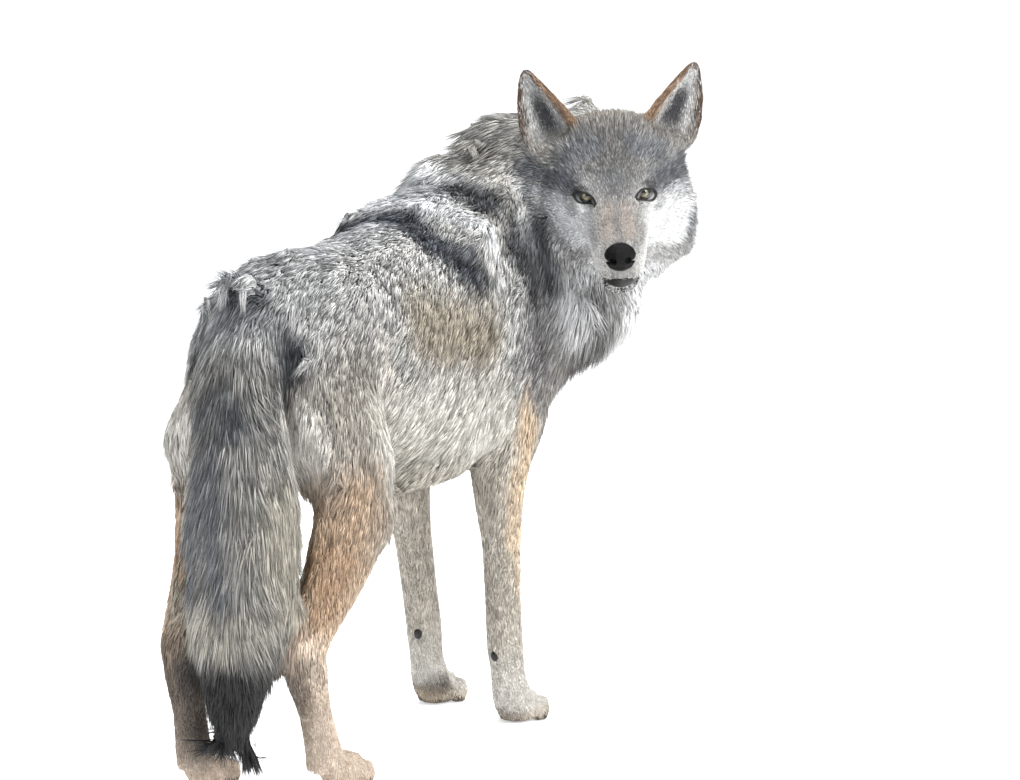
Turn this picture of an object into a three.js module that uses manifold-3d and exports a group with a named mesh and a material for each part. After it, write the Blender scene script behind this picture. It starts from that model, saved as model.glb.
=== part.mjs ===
// A grey wolf (timber wolf), life size, standing on four paws, its head turned back over its right shoulder.
// Millimetres, +Z up, floor at z = 0. The wolf faces -Y, so its left side is +X and its tail is at +Y.
// Every node is one closed solid. The trunk is modelled whole and parted by thin cuts, and locks of hair grow
// from each part and lie over the next one along the lie of the coat. Nodes that meet keep GAP between them.
import * as THREE from "three";
import { mergeVertices } from "three/addons/utils/BufferGeometryUtils.js";
import Module from "manifold-3d";

const wasm = await Module();
wasm.setup();

// ---------------------------------------------------------------- driving dimensions
const GAP = 0.35; // kept between nodes that meet
const RUMP_HEIGHT = 724; // floor to the top of the coat over the hips
const WITHERS_HEIGHT = 794; // floor to the top of the mane over the shoulders
const BELLY_HEIGHT = 354; // floor to the lowest hair of the belly
const CHEST_Y = -425; // front of the chest
const BUTTOCK_Y = 425; // back of the thighs
const BODY_HALF = 140; // half the width of the ribs, to the core of the coat
const COAT = 14; // how far the body's locks stand over the core of the coat
const TAIL_TIP_Z = 66; // floor to the last hair of the hanging tail
const EYE_R = 12; // eyeball
const EYE_X = 40; // an eye's centre to the middle of the face
const NOSE_TIP = 121; // eyes to the tip of the nose, along the head
const EAR_LENGTH = 113;
const HEAD_AT = [-253, -263, 765]; // midpoint between the eyes
const HEAD_TURN = -155; // degrees from straight ahead, to the wolf's right
const HEAD_PITCH = 24; // degrees, nose down
const HEAD_ROLL = -3.5; // degrees
const HEAD_BACK = 92; // the head ends and the neck begins this far behind the eyes
const ELBOW_CUT = 350; // heights of the level cuts that part each leg
const WRIST_CUT = 112;
const KNEE_CUT = 350;
const HOCK_CUT = 160;
const TAIL_CUTS = [540, 230]; // heights of the cuts between the tail's base, brush and tip

const TAU = Math.PI * 2;
const rad = (degrees) => (degrees * Math.PI) / 180;
const vec = (x, y, z) => new THREE.Vector3(x, y, z);
const UP = vec(0, 0, 1);
const BACK = vec(0, 1, 0);
const LEFT = vec(1, 0, 0);
const turned = (axis, degrees) => new THREE.Quaternion().setFromAxisAngle(axis, rad(degrees));
const frameOf = (at, turns, scale = vec(1, 1, 1)) =>
  new THREE.Matrix4().compose(vec(...at), turns.reduce((all, turn) => all.multiply(turn)), scale);

// A seeded random number from 0 to 1, so that every build lays the same locks.
let seed = 20517;
function random() {
  seed = (seed * 1664525 + 1013904223) % 4294967296;
  return seed / 4294967296;
}
const spread = (amount) => (random() * 2 - 1) * amount;

// ---------------------------------------------------------------- solids and cuts
function solidOf(geometry) {
  const bare = geometry.index ? geometry.toNonIndexed() : geometry;
  const corners = new THREE.BufferGeometry().setAttribute("position", bare.getAttribute("position"));
  const merged = mergeVertices(corners, 1e-4);
  const vertProperties = merged.attributes.position.array;
  const triVerts = new Uint32Array(merged.index.array);
  const made = new wasm.Manifold(new wasm.Mesh({ numProp: 3, vertProperties, triVerts }));
  if (made.volume() > 0) return made;
  for (let i = 0; i < triVerts.length; i += 3) {
    [triVerts[i + 1], triVerts[i + 2]] = [triVerts[i + 2], triVerts[i + 1]];
  }
  return new wasm.Manifold(new wasm.Mesh({ numProp: 3, vertProperties, triVerts }));
}

function geometryOf(solid) {
  const { numVert, numProp, vertProperties, triVerts } = solid.getMesh();
  const positions = new Float32Array(numVert * 3);
  for (let i = 0; i < numVert; i++) {
    positions.set(vertProperties.subarray(i * numProp, i * numProp + 3), i * 3);
  }
  const geometry = new THREE.BufferGeometry();
  geometry.setAttribute("position", new THREE.BufferAttribute(positions, 3));
  geometry.setIndex(new THREE.BufferAttribute(new Uint32Array(triVerts), 1));
  return geometry;
}

const join = (solids) => solids.reduce((whole, piece) => whole.add(piece));
const cut = (solid, ...cutters) => cutters.reduce((rest, cutter) => rest.subtract(cutter), solid);
const moved = (solid, frame) => solid.transform(frame.elements);

// The largest closed surface of a solid: fills sealed hollows and drops loose scraps.
function largest(solid) {
  return solid.decompose().reduce((best, piece) => (piece.volume() > best.volume() ? piece : best));
}

function block(low, high) {
  const geometry = new THREE.BoxGeometry(...low.map((value, k) => high[k] - value));
  geometry.translate(...low.map((value, k) => (high[k] + value) / 2));
  return solidOf(geometry);
}

function ellipsoid(centre, radii, across = 12, down = 8) {
  const geometry = new THREE.SphereGeometry(1, across, down);
  return solidOf(geometry.rotateX(rad(90)).scale(...radii).translate(...centre));
}

// A closed surface over rows of points, wound inwards, with a pole at each end. crossed names the columns whose
// four-sided faces are parted along their other diagonal.
function skinOf(rows, start, end, crossed = []) {
  const around = rows[0].length;
  const corners = [];
  const face = (...points) => points.forEach((p) => corners.push(p.x, p.y, p.z));
  for (let k = 0; k < around; k++) {
    const next = (k + 1) % around;
    face(start, rows[0][next], rows[0][k]);
    for (let i = 0; i + 1 < rows.length; i++) {
      const [a, b, c, d] = [rows[i][k], rows[i][next], rows[i + 1][next], rows[i + 1][k]];
      face(a, b, crossed.includes(k) ? d : c);
      face(crossed.includes(k) ? b : a, c, d);
    }
    face(end, rows[rows.length - 1][k], rows[rows.length - 1][next]);
  }
  return new THREE.BufferGeometry().setAttribute("position", new THREE.Float32BufferAttribute(corners, 3));
}

// A surface made by skinOf with each corner moved so that every face at it stands out by at least grow.
const SWELL_STEPS = 60;
function swollen(surface, grow) {
  const merged = mergeVertices(surface, 1e-4);
  const at = merged.getAttribute("position");
  const points = Array.from({ length: at.count }, (_, i) => new THREE.Vector3().fromBufferAttribute(at, i));
  const normals = points.map(() => []);
  for (let i = 0; i < merged.index.count; i += 3) {
    const corners = [2, 1, 0].map((k) => merged.index.getX(i + k));
    const outward = new THREE.Triangle(...corners.map((corner) => points[corner])).getNormal(vec(0, 0, 0));
    corners.forEach((corner) => normals[corner].push(outward));
  }
  const shift = (facings) => {
    const way = vec(0, 0, 0);
    for (let step = 0; step < SWELL_STEPS; step++) {
      facings.forEach((facing) => way.addScaledVector(facing, Math.max(0, grow - way.dot(facing))));
    }
    return way;
  };
  points.forEach((point, i) => point.clone().add(shift(normals[i])).toArray(at.array, 3 * i));
  return merged;
}

// ---------------------------------------------------------------- lofted forms
// A form is a tube along a smooth path. A station is [x, y, z, side, top, bottom, squareness]: a point of the
// path, the half-width, and the reach above and below the path. t runs from 0 to 1 along the path and phi round
// it, from the side (0) over the top (90 degrees). The top keeps to the direction given.
class Form {
  constructor(stations, { around = 16, rings = 12, domes = [0.35, 0.35], top = UP }) {
    Object.assign(this, { stations, around, rings, domes, top });
    const points = stations.map(([x, y, z]) => vec(x, y, z));
    this.path = new THREE.CatmullRomCurve3(points, false, "catmullrom", 0.5);
    this.length = this.path.getLength();
  }

  // A station's value at t, on a smooth curve through the stations.
  value(column, t) {
    const last = this.stations.length - 1;
    const place = THREE.MathUtils.clamp(t, 0, 1) * last;
    const i = Math.min(Math.floor(place), last - 1);
    const u = place - i;
    const at = (k) => this.stations[THREE.MathUtils.clamp(k, 0, last)][column] ?? 2;
    const [a, b, c, d] = [at(i - 1), at(i), at(i + 1), at(i + 2)];
    return b + 0.5 * u * (c - a + u * (2 * a - 5 * b + 4 * c - d + u * (3 * (b - c) + d - a)));
  }

  // The point of the surface at t and phi, grown outwards. Past either end the tube runs straight on.
  point(t, phi, grow = 0, shrink = 1) {
    const inside = THREE.MathUtils.clamp(t, 0, 1);
    const ahead = this.path.getTangent(inside);
    const centre = this.path.getPoint(inside).addScaledVector(ahead, (t - inside) * this.length);
    const side = ahead.clone().cross(this.top).normalize();
    const over = side.clone().cross(ahead);
    const power = 2 / this.value(6, inside);
    const across = Math.sign(Math.cos(phi)) * Math.abs(Math.cos(phi)) ** power;
    const above = Math.sign(Math.sin(phi)) * Math.abs(Math.sin(phi)) ** power;
    const reach = this.value(above > 0 ? 4 : 5, inside);
    return centre
      .addScaledVector(side, across * (this.value(3, inside) * shrink + grow))
      .addScaledVector(over, above * (reach * shrink + grow));
  }

  // The point at t and phi with its outward normal, and the lengths of a step in t and in phi.
  surface(t, phi) {
    const step = 0.004;
    const here = this.point(t, phi);
    const along = this.point(t + step, phi).sub(this.point(t - step, phi)).divideScalar(2 * step);
    const round = this.point(t, phi + step).sub(this.point(t, phi - step)).divideScalar(2 * step);
    const normal = round.clone().cross(along).normalize();
    const centre = this.path.getPoint(THREE.MathUtils.clamp(t, 0, 1));
    if (normal.dot(here.clone().sub(centre)) < 0) normal.negate();
    return { here, normal, perT: along.length(), perPhi: round.length() };
  }

  // The closed solid, with a rounded end past each end of the path.
  solid(grow = 0) {
    const rows = [];
    const ends = [this.stations[0], this.stations[this.stations.length - 1]];
    const dome = ends.map((s, k) => this.domes[k] * Math.min(s[3], (s[4] + s[5]) / 2) + grow);
    const addRow = (t, shrink) => {
      const angles = Array.from({ length: this.around }, (_, k) => (TAU * k) / this.around);
      rows.push(angles.map((phi) => this.point(t, phi, grow, shrink)));
    };
    const bulge = (end, angle) => (dome[end] * Math.sin(rad(angle))) / this.length;
    for (const angle of [62, 32]) addRow(-bulge(0, angle), Math.cos(rad(angle)));
    for (let i = 0; i <= this.rings; i++) addRow(i / this.rings, 1);
    for (const angle of [32, 62]) addRow(1 + bulge(1, angle), Math.cos(rad(angle)));
    const pole = (t, away) => this.path.getPoint(t).addScaledVector(this.path.getTangent(t), away);
    return solidOf(skinOf(rows, pole(0, -dome[0]), pole(1, dome[1])));
  }
}

// ---------------------------------------------------------------- locks of hair
// A lock is a flat, tapered blade with a ridge. It grows out of its form at t and phi, bends along it and ends in a
// point. lie is its direction, in degrees from the form's t towards its phi, and turn is how far it bends away.
const LOCK_SINK = 7;
const LOCK_ROWS = [
  // share of the length, share of the width, height of the edges and of the ridge as shares of the lift
  { share: 0, width: 0.6, edge: 0, ridge: 0.2 },
  { share: 0.5, width: 1, edge: -0.1, ridge: 1 },
];
const LOCK_TIP = 0.85;
const LEAST_STEP = 0.6; // on the inside of a bend a lock keeps this share of its length

function lock({ form, t, phi, lie, turn, length, width, lift, droop = 0 }, grow = 0) {
  const root = form.surface(t, phi);
  const perT = Math.max(root.perT, LEAST_STEP * form.length);
  const place = [t, phi];
  let before = 0;
  const onward = (share, angle) => {
    const step = (share - before) * length;
    place[0] += (step * Math.cos(angle)) / perT;
    place[1] += (step * Math.sin(angle)) / root.perPhi;
    before = share;
  };
  const raised = (across, share, height, angle) => {
    const [alongT, alongPhi] = [-Math.sin(angle) / perT, Math.cos(angle) / root.perPhi];
    const spot = form.surface(place[0] + across * alongT, place[1] + across * alongPhi);
    return spot.here.addScaledVector(spot.normal, height).addScaledVector(UP, -droop * share * share);
  };
  const rows = LOCK_ROWS.map(({ share, width: part, edge, ridge }) => {
    const angle = rad(lie + turn * share);
    onward(share, angle);
    const half = (width * part) / 2;
    const [low, high] = [edge, ridge].map((height) => lift * height - (share === 0 ? LOCK_SINK : 0));
    const corners = [[-half, low], [0, high], [half, low]];
    return corners.map(([across, height]) => raised(across, share, height, angle));
  });
  const foot = rows[0][0].clone().lerp(rows[0][2], 0.5).addScaledVector(root.normal, -1);
  onward(1, rad(lie + turn));
  const skin = skinOf(rows, foot, raised(0, 1, lift * LOCK_TIP, rad(lie + turn)), [1]);
  return solidOf(grow > 0 ? swollen(skin, grow) : skin);
}

// Rows of locks over a patch of a form. from and to are [t, phi in degrees]; along and round are the numbers of
// locks; fall turns the lie down the sides. The rest is each lock's own shape.
function patch(form, { from, to, along, round, ...shape }) {
  const locks = [];
  for (let i = 0; i < along; i++) {
    for (let k = 0; k < round; k++) {
      const stagger = (i % 2) * 0.5;
      const t = from[0] + ((to[0] - from[0]) * (i + 0.5 + spread(0.15))) / along;
      const phi = rad(from[1] + ((to[1] - from[1]) * (k + 0.25 + stagger + spread(0.12))) / round);
      const each = { form, t, phi, lift: COAT, ...shape, turn: spread(16) };
      each.lie = (shape.lie ?? 0) + (shape.fall ?? 0) * Math.cos(phi) + spread(7);
      each.length *= 1 + spread(0.14);
      each.lift *= 1 + spread(0.2);
      locks.push(each);
    }
  }
  return locks;
}

// ---------------------------------------------------------------- trunk and neck
const torsoForm = new Form(
  [
    // x, y, z, half-width, above, below, squareness
    [0, CHEST_Y + 20, 556, 120, 112, 112, 2.1],
    [0, CHEST_Y + 75, 572, 140, 150, 168, 2.2],
    [0, -285, 583, 145, WITHERS_HEIGHT - 583 - COAT, 208, 2.2],
    [0, -195, 580, BODY_HALF, WITHERS_HEIGHT - 588 - COAT, 210, 2.2],
    [0, -90, 568, BODY_HALF + 2, 182, 568 - BELLY_HEIGHT - 10, 2.2],
    [0, 20, 560, BODY_HALF - 3, 162, 560 - BELLY_HEIGHT - 10, 2.2],
    [0, 130, 562, BODY_HALF - 9, 150, 184, 2.2],
    [0, 235, 572, BODY_HALF - 16, RUMP_HEIGHT - 572 - COAT, 158, 2.2],
    [0, 325, 582, BODY_HALF - 30, RUMP_HEIGHT - 586 - COAT, 128, 2.1],
    [0, BUTTOCK_Y - 38, 588, 76, 88, 90, 2],
  ],
  { around: 16, rings: 10, domes: [0.5, 0.5] },
);

// The neck rises from the shoulders and turns back over the right one.
const neckRise = new Form(
  [
    [0, -215, 610, 126, 146, 170, 2.1],
    [-6, -300, 672, 130, 130, 162, 2.1],
    [-22, -368, 724, 124, 112, 158, 2],
    [-48, -396, 758, 110, 98, 150, 2],
  ],
  { around: 12, rings: 4, domes: [0.3, 0.7] },
);
const neckTurn = new Form(
  [
    [-40, -388, 752, 102, 104, 190, 2.1],
    [-96, -402, 782, 104, 96, 236, 2.2],
    [-150, -390, 790, 106, 90, 256, 2.2],
    [-190, -368, 782, 106, 92, 240, 2.2],
    [-212, -350, 772, 106, 94, 214, 2.2],
  ],
  { around: 12, rings: 4, domes: [0.6, 0.02] },
);

const tailForm = new Form(
  [
    [0, 376, 652, 48, 40, 44, 2],
    [-4, 422, 610, 53, 42, 46, 2],
    [-14, 456, 548, 57, 44, 46, 2],
    [-24, 474, 460, 67, 47, 46, 2],
    [-32, 480, 370, 78, 52, 48, 2],
    [-26, 478, 285, 73, 50, 46, 2],
    [-16, 472, 205, 61, 43, 40, 2],
    [-8, 466, 140, 41, 30, 27, 2],
    [-3, 462, TAIL_TIP_Z + 24, 14, 10, 9, 2],
  ],
  { around: 10, rings: 9, domes: [0.4, 0.5], top: BACK },
);

// ---------------------------------------------------------------- legs
const HIND = {
  right: {
    hip: [-60, 318, 560],
    knee: [-108, 285, 392],
    hock: [-92, 424, 192],
    fetlock: [-88, 366, 52],
    paw: [-92, 308],
  },
  left: {
    hip: [48, 322, 560],
    knee: [88, 300, 390],
    hock: [74, 444, 190],
    fetlock: [77, 418, 52],
    paw: [78, 368],
  },
};
const FORE = {
  right: {
    shoulder: [-64, -300, 610],
    elbow: [-90, -226, 384],
    wrist: [-90, -246, 132],
    fetlock: [-91, -262, 50],
    paw: [-92, -294],
  },
  left: {
    shoulder: [64, -310, 610],
    elbow: [84, -280, 384],
    wrist: [84, -352, 130],
    fetlock: [84, -368, 50],
    paw: [84, -402],
  },
};

const between = (a, b, share) => a.map((value, k) => value + (b[k] - value) * share);
const shifted = (point, x, y, z) => [point[0] + x, point[1] + y, point[2] + z];

// A leg's stations run from the body down to the paw, and its top is its back.
function hindLegForm({ hip, knee, hock, fetlock }) {
  const out = Math.sign(hip[0]);
  const stations = [
    [...shifted(hip, 0, 4, 52), 30, 48, 62, 2.1],
    [...shifted(hip, out * 3, 6, 0), 50, 84, 92, 2.1],
    [...shifted(between(hip, knee, 0.42), out * 5, 10, 0), 57, 103, 98, 2.2],
    [...shifted(knee, 0, 18, 0), 46, 86, 80, 2.2],
    [...shifted(between(knee, hock, 0.34), 0, -2, 0), 37, 60, 56, 2.1],
    [...shifted(between(knee, hock, 0.66), 0, 4, 0), 29, 38, 38, 2],
    [...shifted(hock, 0, 0, 22), 24, 31, 26, 2],
    [...shifted(hock, 0, 2, -14), 25, 27, 26, 2],
    [...between(hock, fetlock, 0.5), 21, 23, 22, 2],
    [...shifted(fetlock, 0, 0, 14), 24, 23, 24, 2],
    [...shifted(fetlock, 0, -12, -16), 28, 24, 30, 2],
  ];
  return new Form(stations, { around: 8, rings: 11, domes: [0.5, 0.2], top: BACK });
}

function foreLegForm({ shoulder, elbow, wrist, fetlock }) {
  const out = Math.sign(shoulder[0]);
  const stations = [
    [...shoulder, 50, 80, 80, 2.1],
    [...shifted(between(shoulder, elbow, 0.42), out * 8, -8, 0), 54, 80, 88, 2.2],
    [...shifted(between(shoulder, elbow, 0.8), out * 4, -4, 0), 44, 68, 64, 2.1],
    [...shifted(elbow, 0, 2, -14), 36, 46, 42, 2],
    [...between(elbow, wrist, 0.33), 29, 32, 30, 2],
    [...between(elbow, wrist, 0.72), 25, 26, 25, 2],
    [...wrist, 27, 26, 26, 2],
    [...between(wrist, fetlock, 0.55), 25, 24, 24, 2],
    [...shifted(fetlock, 0, 0, 6), 27, 24, 28, 2],
    [...shifted(fetlock, 0, -10, -14), 30, 24, 32, 2],
  ];
  return new Form(stations, { around: 8, rings: 10, domes: [0.4, 0.2], top: BACK });
}

// A paw's frame has its origin on the floor under the middle of the foot and faces -Y.
const TOES = [
  { x: -26, y: -20, long: 23 },
  { x: -9.5, y: -33, long: 25 },
  { x: 9.5, y: -33, long: 25 },
  { x: 26, y: -20, long: 23 },
];
const FORE_PAW = 1;
const HIND_PAW = 0.93;

function pawParts([x, y], size) {
  const frame = frameOf([x, y, 0], [turned(UP, 0)], vec(size, size, 1));
  const toes = TOES.map((toe) => ellipsoid([toe.x, toe.y, 16], [12.5, toe.long, 20], 6, 4));
  const bridge = ellipsoid([0, 3, 24], [34, 42, 27], 8, 4);
  const claws = (grow) => TOES.map((toe) => moved(claw(toe.x, toe.y - toe.long + 3, grow), frame));
  return { foot: moved(join([...toes, bridge]), frame), claws: claws(0), beds: claws(GAP) };
}

// A claw curves forwards and down out of the toe, from its root at x, y.
function claw(x, y, grow) {
  const path = new THREE.QuadraticBezierCurve3(vec(x, y + 6, 19), vec(x, y - 7, 21), vec(x, y - 12, 8));
  const rows = [0, 0.55].map((share) => {
    const over = LEFT.clone().cross(path.getTangent(share));
    const radius = 3.6 * (1 - 0.6 * share) + grow;
    return [0, 90, 180, 270].map((angle) =>
      path
        .getPoint(share)
        .addScaledVector(LEFT, radius * 0.75 * Math.cos(rad(angle)))
        .addScaledVector(over, radius * Math.sin(rad(angle))),
    );
  });
  return solidOf(skinOf(rows, path.getPoint(0), path.getPoint(1).addScaledVector(path.getTangent(1), grow)));
}

// ---------------------------------------------------------------- head, in its own frame
// The head's frame has its origin between the eyes and faces -Y, as the body does.
const headFrame = frameOf(HEAD_AT, [turned(UP, HEAD_TURN), turned(LEFT, HEAD_PITCH), turned(BACK, HEAD_ROLL)]);

// The skull's path runs from the back of the head to the front of the muzzle.
const skullForm = new Form(
  [
    [0, 128, -34, 90, 100, 100, 2.1],
    [0, 92, -36, 102, 114, 100, 2.1],
    [0, 56, -36, 98, 105, 90, 2.2],
    [0, 22, -30, 78, 76, 68, 2.2],
    [0, -8, -28, 57, 50, 56, 2.2],
    [0, -36, -42, 44, 39, 43, 2.3],
    [0, -66, -50, 40, 33, 35, 2.4],
    [0, -94, -55, 37, 30, 30, 2.4],
    [0, -107, -56, 30, 25, 27, 2.3],
  ],
  { around: 16, rings: 10, domes: [0.1, 0.35] },
);

// The winter ruff stands out behind the cheeks and under the throat.
const ruffForm = new Form(
  [
    [6, 44, -56, 84, 78, 84, 2],
    [6, 76, -60, 106, 90, 100, 2],
    [6, 108, -62, 112, 96, 110, 2],
    [6, 146, -66, 100, 92, 104, 2],
  ],
  { around: 14, rings: 4, domes: [0.15, 0.4] },
);
const skullWhole = (grow) => join([skullForm.solid(grow), ruffForm.solid(grow)]);

const jawForm = new Form(
  [
    [0, 64, -84, 50, 26, 40, 2],
    [0, 16, -88, 42, 20, 36, 2],
    [0, -30, -92, 34, 14, 24, 2.2],
    [0, -66, -94, 30, 12, 15, 2.3],
    [0, -92, -93, 25, 11, 13, 2.3],
    [0, -102, -92, 18, 9, 12, 2.1],
  ],
  { around: 10, rings: 6, domes: [0.3, 0.5] },
);

// The mouth's line keeps to the lower edge of the muzzle, from one corner round the front to the other corner.
const MOUTH = [
  // t along the skull's path, degrees below its side
  { t: 0.74, below: 50 },
  { t: 0.83, below: 54 },
  { t: 0.92, below: 57 },
  { t: 0.99, below: 62 },
];
function mouthCurve(lower) {
  const half = MOUTH.map(({ t, below }) => skullForm.point(t, rad(-below)).add(vec(0, 0, -lower)));
  const mirrored = half.map((p) => vec(-p.x, p.y, p.z)).reverse();
  return new THREE.CatmullRomCurve3([...half, vec(0, -116, -77 - lower), ...mirrored]);
}

// A round bar along a curve, thinner towards its ends.
function bar(curve, radius, steps = 10, sides = 4) {
  const rows = [];
  for (let i = 0; i <= steps; i++) {
    const ahead = curve.getTangent(i / steps);
    const side = ahead.clone().cross(UP).normalize();
    const over = side.clone().cross(ahead);
    const r = radius * (0.45 + 0.55 * Math.sqrt(Math.sin((Math.PI * i) / steps)));
    const angles = Array.from({ length: sides }, (_, k) => (TAU * k) / sides);
    rows.push(
      angles.map((angle) =>
        curve
          .getPoint(i / steps)
          .addScaledVector(side, r * Math.cos(angle))
          .addScaledVector(over, r * Math.sin(angle)),
      ),
    );
  }
  return solidOf(skinOf(rows, curve.getPoint(0), curve.getPoint(1)));
}

// An eye's frame looks along -Y. The opening between the lids is an almond, its inner corner on the -X side.
const LID = 3;
const OPENING = { width: 27, height: 14 };
const eyeFrame = (side) =>
  frameOf([side * EYE_X, 0, 0], [turned(UP, side * 16), turned(BACK, side * -22)], vec(side, 1, 1));

function almond({ width, height }, depth) {
  const half = width / 2;
  const shape = new THREE.Shape();
  shape.moveTo(-half, -0.16 * height);
  shape.bezierCurveTo(-0.4 * half, 0.72 * height, 0.45 * half, 0.66 * height, half, 0.2 * height);
  shape.bezierCurveTo(0.5 * half, -0.62 * height, -0.35 * half, -0.6 * height, -half, -0.16 * height);
  return new THREE.ExtrudeGeometry(shape, { depth, bevelEnabled: false, curveSegments: 5 }).rotateX(rad(90));
}

function eyeParts(side) {
  const ball = (r, across, down) => moved(ellipsoid([0, 0, 0], [r, r, r], across, down), eyeFrame(side));
  return {
    eye: ball(EYE_R, 10, 6),
    hole: ball(EYE_R + GAP, 10, 6),
    lids: ball(EYE_R + LID, 10, 6),
    opening: moved(solidOf(almond(OPENING, 30)), eyeFrame(side)),
    orbit: ellipsoid([side * 50, -24, -1], [20, 21, 14], 8, 6),
    brow: ellipsoid([side * 36, 15, 12], [27, 22, 13], 8, 4),
  };
}

// An ear is a leaf-shaped cone with its front scooped out. Its frame has its base at the origin, +Z to the tip.
const EAR_SHAPE = [
  // share of the length, half-width, reach behind
  [-0.14, 36, 26],
  [0.08, 43, 27],
  [0.3, 39, 24],
  [0.55, 29, 18],
  [0.78, 17, 11],
  [0.93, 8, 6],
];
const EAR_WALL = 5.5;
const EAR_LEAN = { left: 26, right: 22 };
const earFrame = (side) => {
  const lean = side > 0 ? EAR_LEAN.left : EAR_LEAN.right;
  const turns = [turned(UP, side * 14), turned(BACK, side * lean), turned(LEFT, -10)];
  return frameOf([side * 82, 84, 44], turns, vec(side, 1, 1));
};

function earForm(inset) {
  const stations = EAR_SHAPE.map(([share, half, behind]) => {
    const at = [14 * share * (1 - share), 6 + inset / 2 - 4 * share, share * EAR_LENGTH];
    return [...at, half - inset, behind - inset, 12 + inset, 2.1];
  });
  return new Form(stations, { around: 10, rings: 5, domes: [0.2, 0.5], top: BACK });
}

function earParts(side) {
  const inside = earForm(EAR_WALL).solid().translate([0, -9, 6]);
  const aboveBase = block([-60, -60, 0], [60, 60, EAR_LENGTH * 1.2]);
  const ear = largest(earForm(0).solid().subtract(inside.intersect(aboveBase)));
  return { ear: moved(ear, earFrame(side)), bed: moved(earForm(0).solid(GAP), earFrame(side)) };
}

const NOSE = { at: [0, -NOSE_TIP + 17, -45], radii: [24, 18, 21] };
function noseSolid() {
  const pad = ellipsoid(NOSE.at, NOSE.radii, 10, 7);
  const nostril = (side) =>
    join([
      ellipsoid([side * 10.5, -NOSE_TIP + 3, -44], [5.2, 7, 5], 6, 4),
      ellipsoid([side * 18, -NOSE_TIP + 9, -47], [6, 7, 2.4], 6, 4),
    ]);
  const groove = block([-0.9, -NOSE_TIP - 8, -74], [0.9, -NOSE_TIP + 3, -48]);
  return cut(pad, nostril(1), nostril(-1), groove);
}

const nape = (low, high) => block([-260, low, -260], [260, high, 260]);

function headParts() {
  const eyes = [eyeParts(1), eyeParts(-1)];
  const ears = [earParts(1), earParts(-1)];
  const lip = (lower, grow) => bar(mouthCurve(lower), 4.2 + grow);
  const [upperLip, lowerLip] = [0, 8.5];
  const noseBed = ellipsoid(NOSE.at, NOSE.radii.map((r) => r + GAP), 10, 7);
  const carved = cut(skullWhole(0), ...eyes.map((e) => e.orbit));
  const solid = join([carved, ...eyes.flatMap((e) => [e.lids, e.brow]), lip(upperLip, 0)]);
  const holes = [...eyes.flatMap((e) => [e.hole, e.opening]), ...ears.map((e) => e.bed), noseBed];
  const jawSpace = join([jawForm.solid(1.2), lip(lowerLip, GAP * 2)]);
  const whole = skullWhole(0);
  const tufts = rooted(headLocks, nape(-300, HEAD_BACK), whole);
  const behind = skullWhole(GAP).intersect(nape(HEAD_BACK, 400));
  const ruff = solidsOf(tufts).subtract(behind);
  const front = skullWhole(GAP).intersect(nape(-300, HEAD_BACK + GAP));
  const earBeds = ears.map((e) => e.bed);
  return {
    skull: join([cut(solid, ...holes, jawSpace, nape(HEAD_BACK, 400)), cut(ruff, ...earBeds, jawSpace)]),
    bed: join([front, solidsOf(tufts, GAP), jawForm.solid(GAP), ...earBeds]),
    jaw: cut(join([jawForm.solid(), lip(lowerLip, 0)]), lip(upperLip, GAP * 2)),
    nose: noseSolid(),
    eyes: eyes.map((e) => e.eye),
    ears: ears.map((e) => e.ear),
  };
}

// ---------------------------------------------------------------- the trunk, whole, and the cuts that part it
const SIDES = ["right", "left"];
const signOf = { right: -1, left: 1 };
const legs = SIDES.flatMap((name) => [
  { name, end: "fore", form: foreLegForm(FORE[name]), paw: pawParts(FORE[name].paw, FORE_PAW) },
  { name, end: "hind", form: hindLegForm(HIND[name]), paw: pawParts(HIND[name].paw, HIND_PAW) },
]);

const wholeTrunk = (grow) =>
  join([
    torsoForm.solid(grow),
    neckRise.solid(grow),
    neckTurn.solid(grow),
    ...legs.map((leg) => leg.form.solid(grow)),
    moved(skullWhole(grow).intersect(nape(HEAD_BACK + GAP - grow, 400)), headFrame),
  ]);
const trunk = wholeTrunk(0);
const trunkGrown = wholeTrunk(GAP);
const everything = block([-900, -900, 0], [900, 900, 1200]);

// The neck leaves the body at a slanting plane in front of the withers.
const NECK_PLANE = { at: [0, -340, 660], tilt: 42 };
const neckSpace = (grow) =>
  moved(block([-400, -400, -grow], [400, 260, 500]), frameOf(NECK_PLANE.at, [turned(LEFT, NECK_PLANE.tilt)]));

// A leg's share of the body is an arch over it, seen from the side, and all of the leg below that.
const LEG_INSIDE = 34; // from the middle of the body
const ARCHES = {
  hind: { y: 338, z: 430, reach: 168, rise: 190, foot: 110 },
  fore: { y: -262, z: 440, reach: 118, rise: 150, foot: 110 },
};
const FOOT_ZONE = 300; // below this height a leg's share is wider, to hold the whole paw

function legSpace({ name, end }, grow = 0) {
  const { y, z, reach, rise, foot } = ARCHES[end];
  const half = reach + grow;
  const shape = new THREE.Shape();
  shape.moveTo(y - half - foot, -20);
  shape.lineTo(y + half + foot, -20);
  shape.lineTo(y + half + foot, FOOT_ZONE);
  shape.lineTo(y + half, FOOT_ZONE);
  shape.lineTo(y + half, z);
  shape.absellipse(y, z, half, rise + grow, 0, Math.PI, false);
  shape.lineTo(y - half, FOOT_ZONE);
  shape.lineTo(y - half - foot, FOOT_ZONE);
  const geometry = new THREE.ExtrudeGeometry(shape, { depth: 300, bevelEnabled: false, curveSegments: 7 });
  geometry.applyMatrix4(new THREE.Matrix4().makeBasis(BACK, UP, LEFT));
  geometry.translate(LEG_INSIDE - grow, 0, 0);
  if (signOf[name] < 0) geometry.scale(-1, 1, 1);
  return solidOf(geometry);
}

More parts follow.
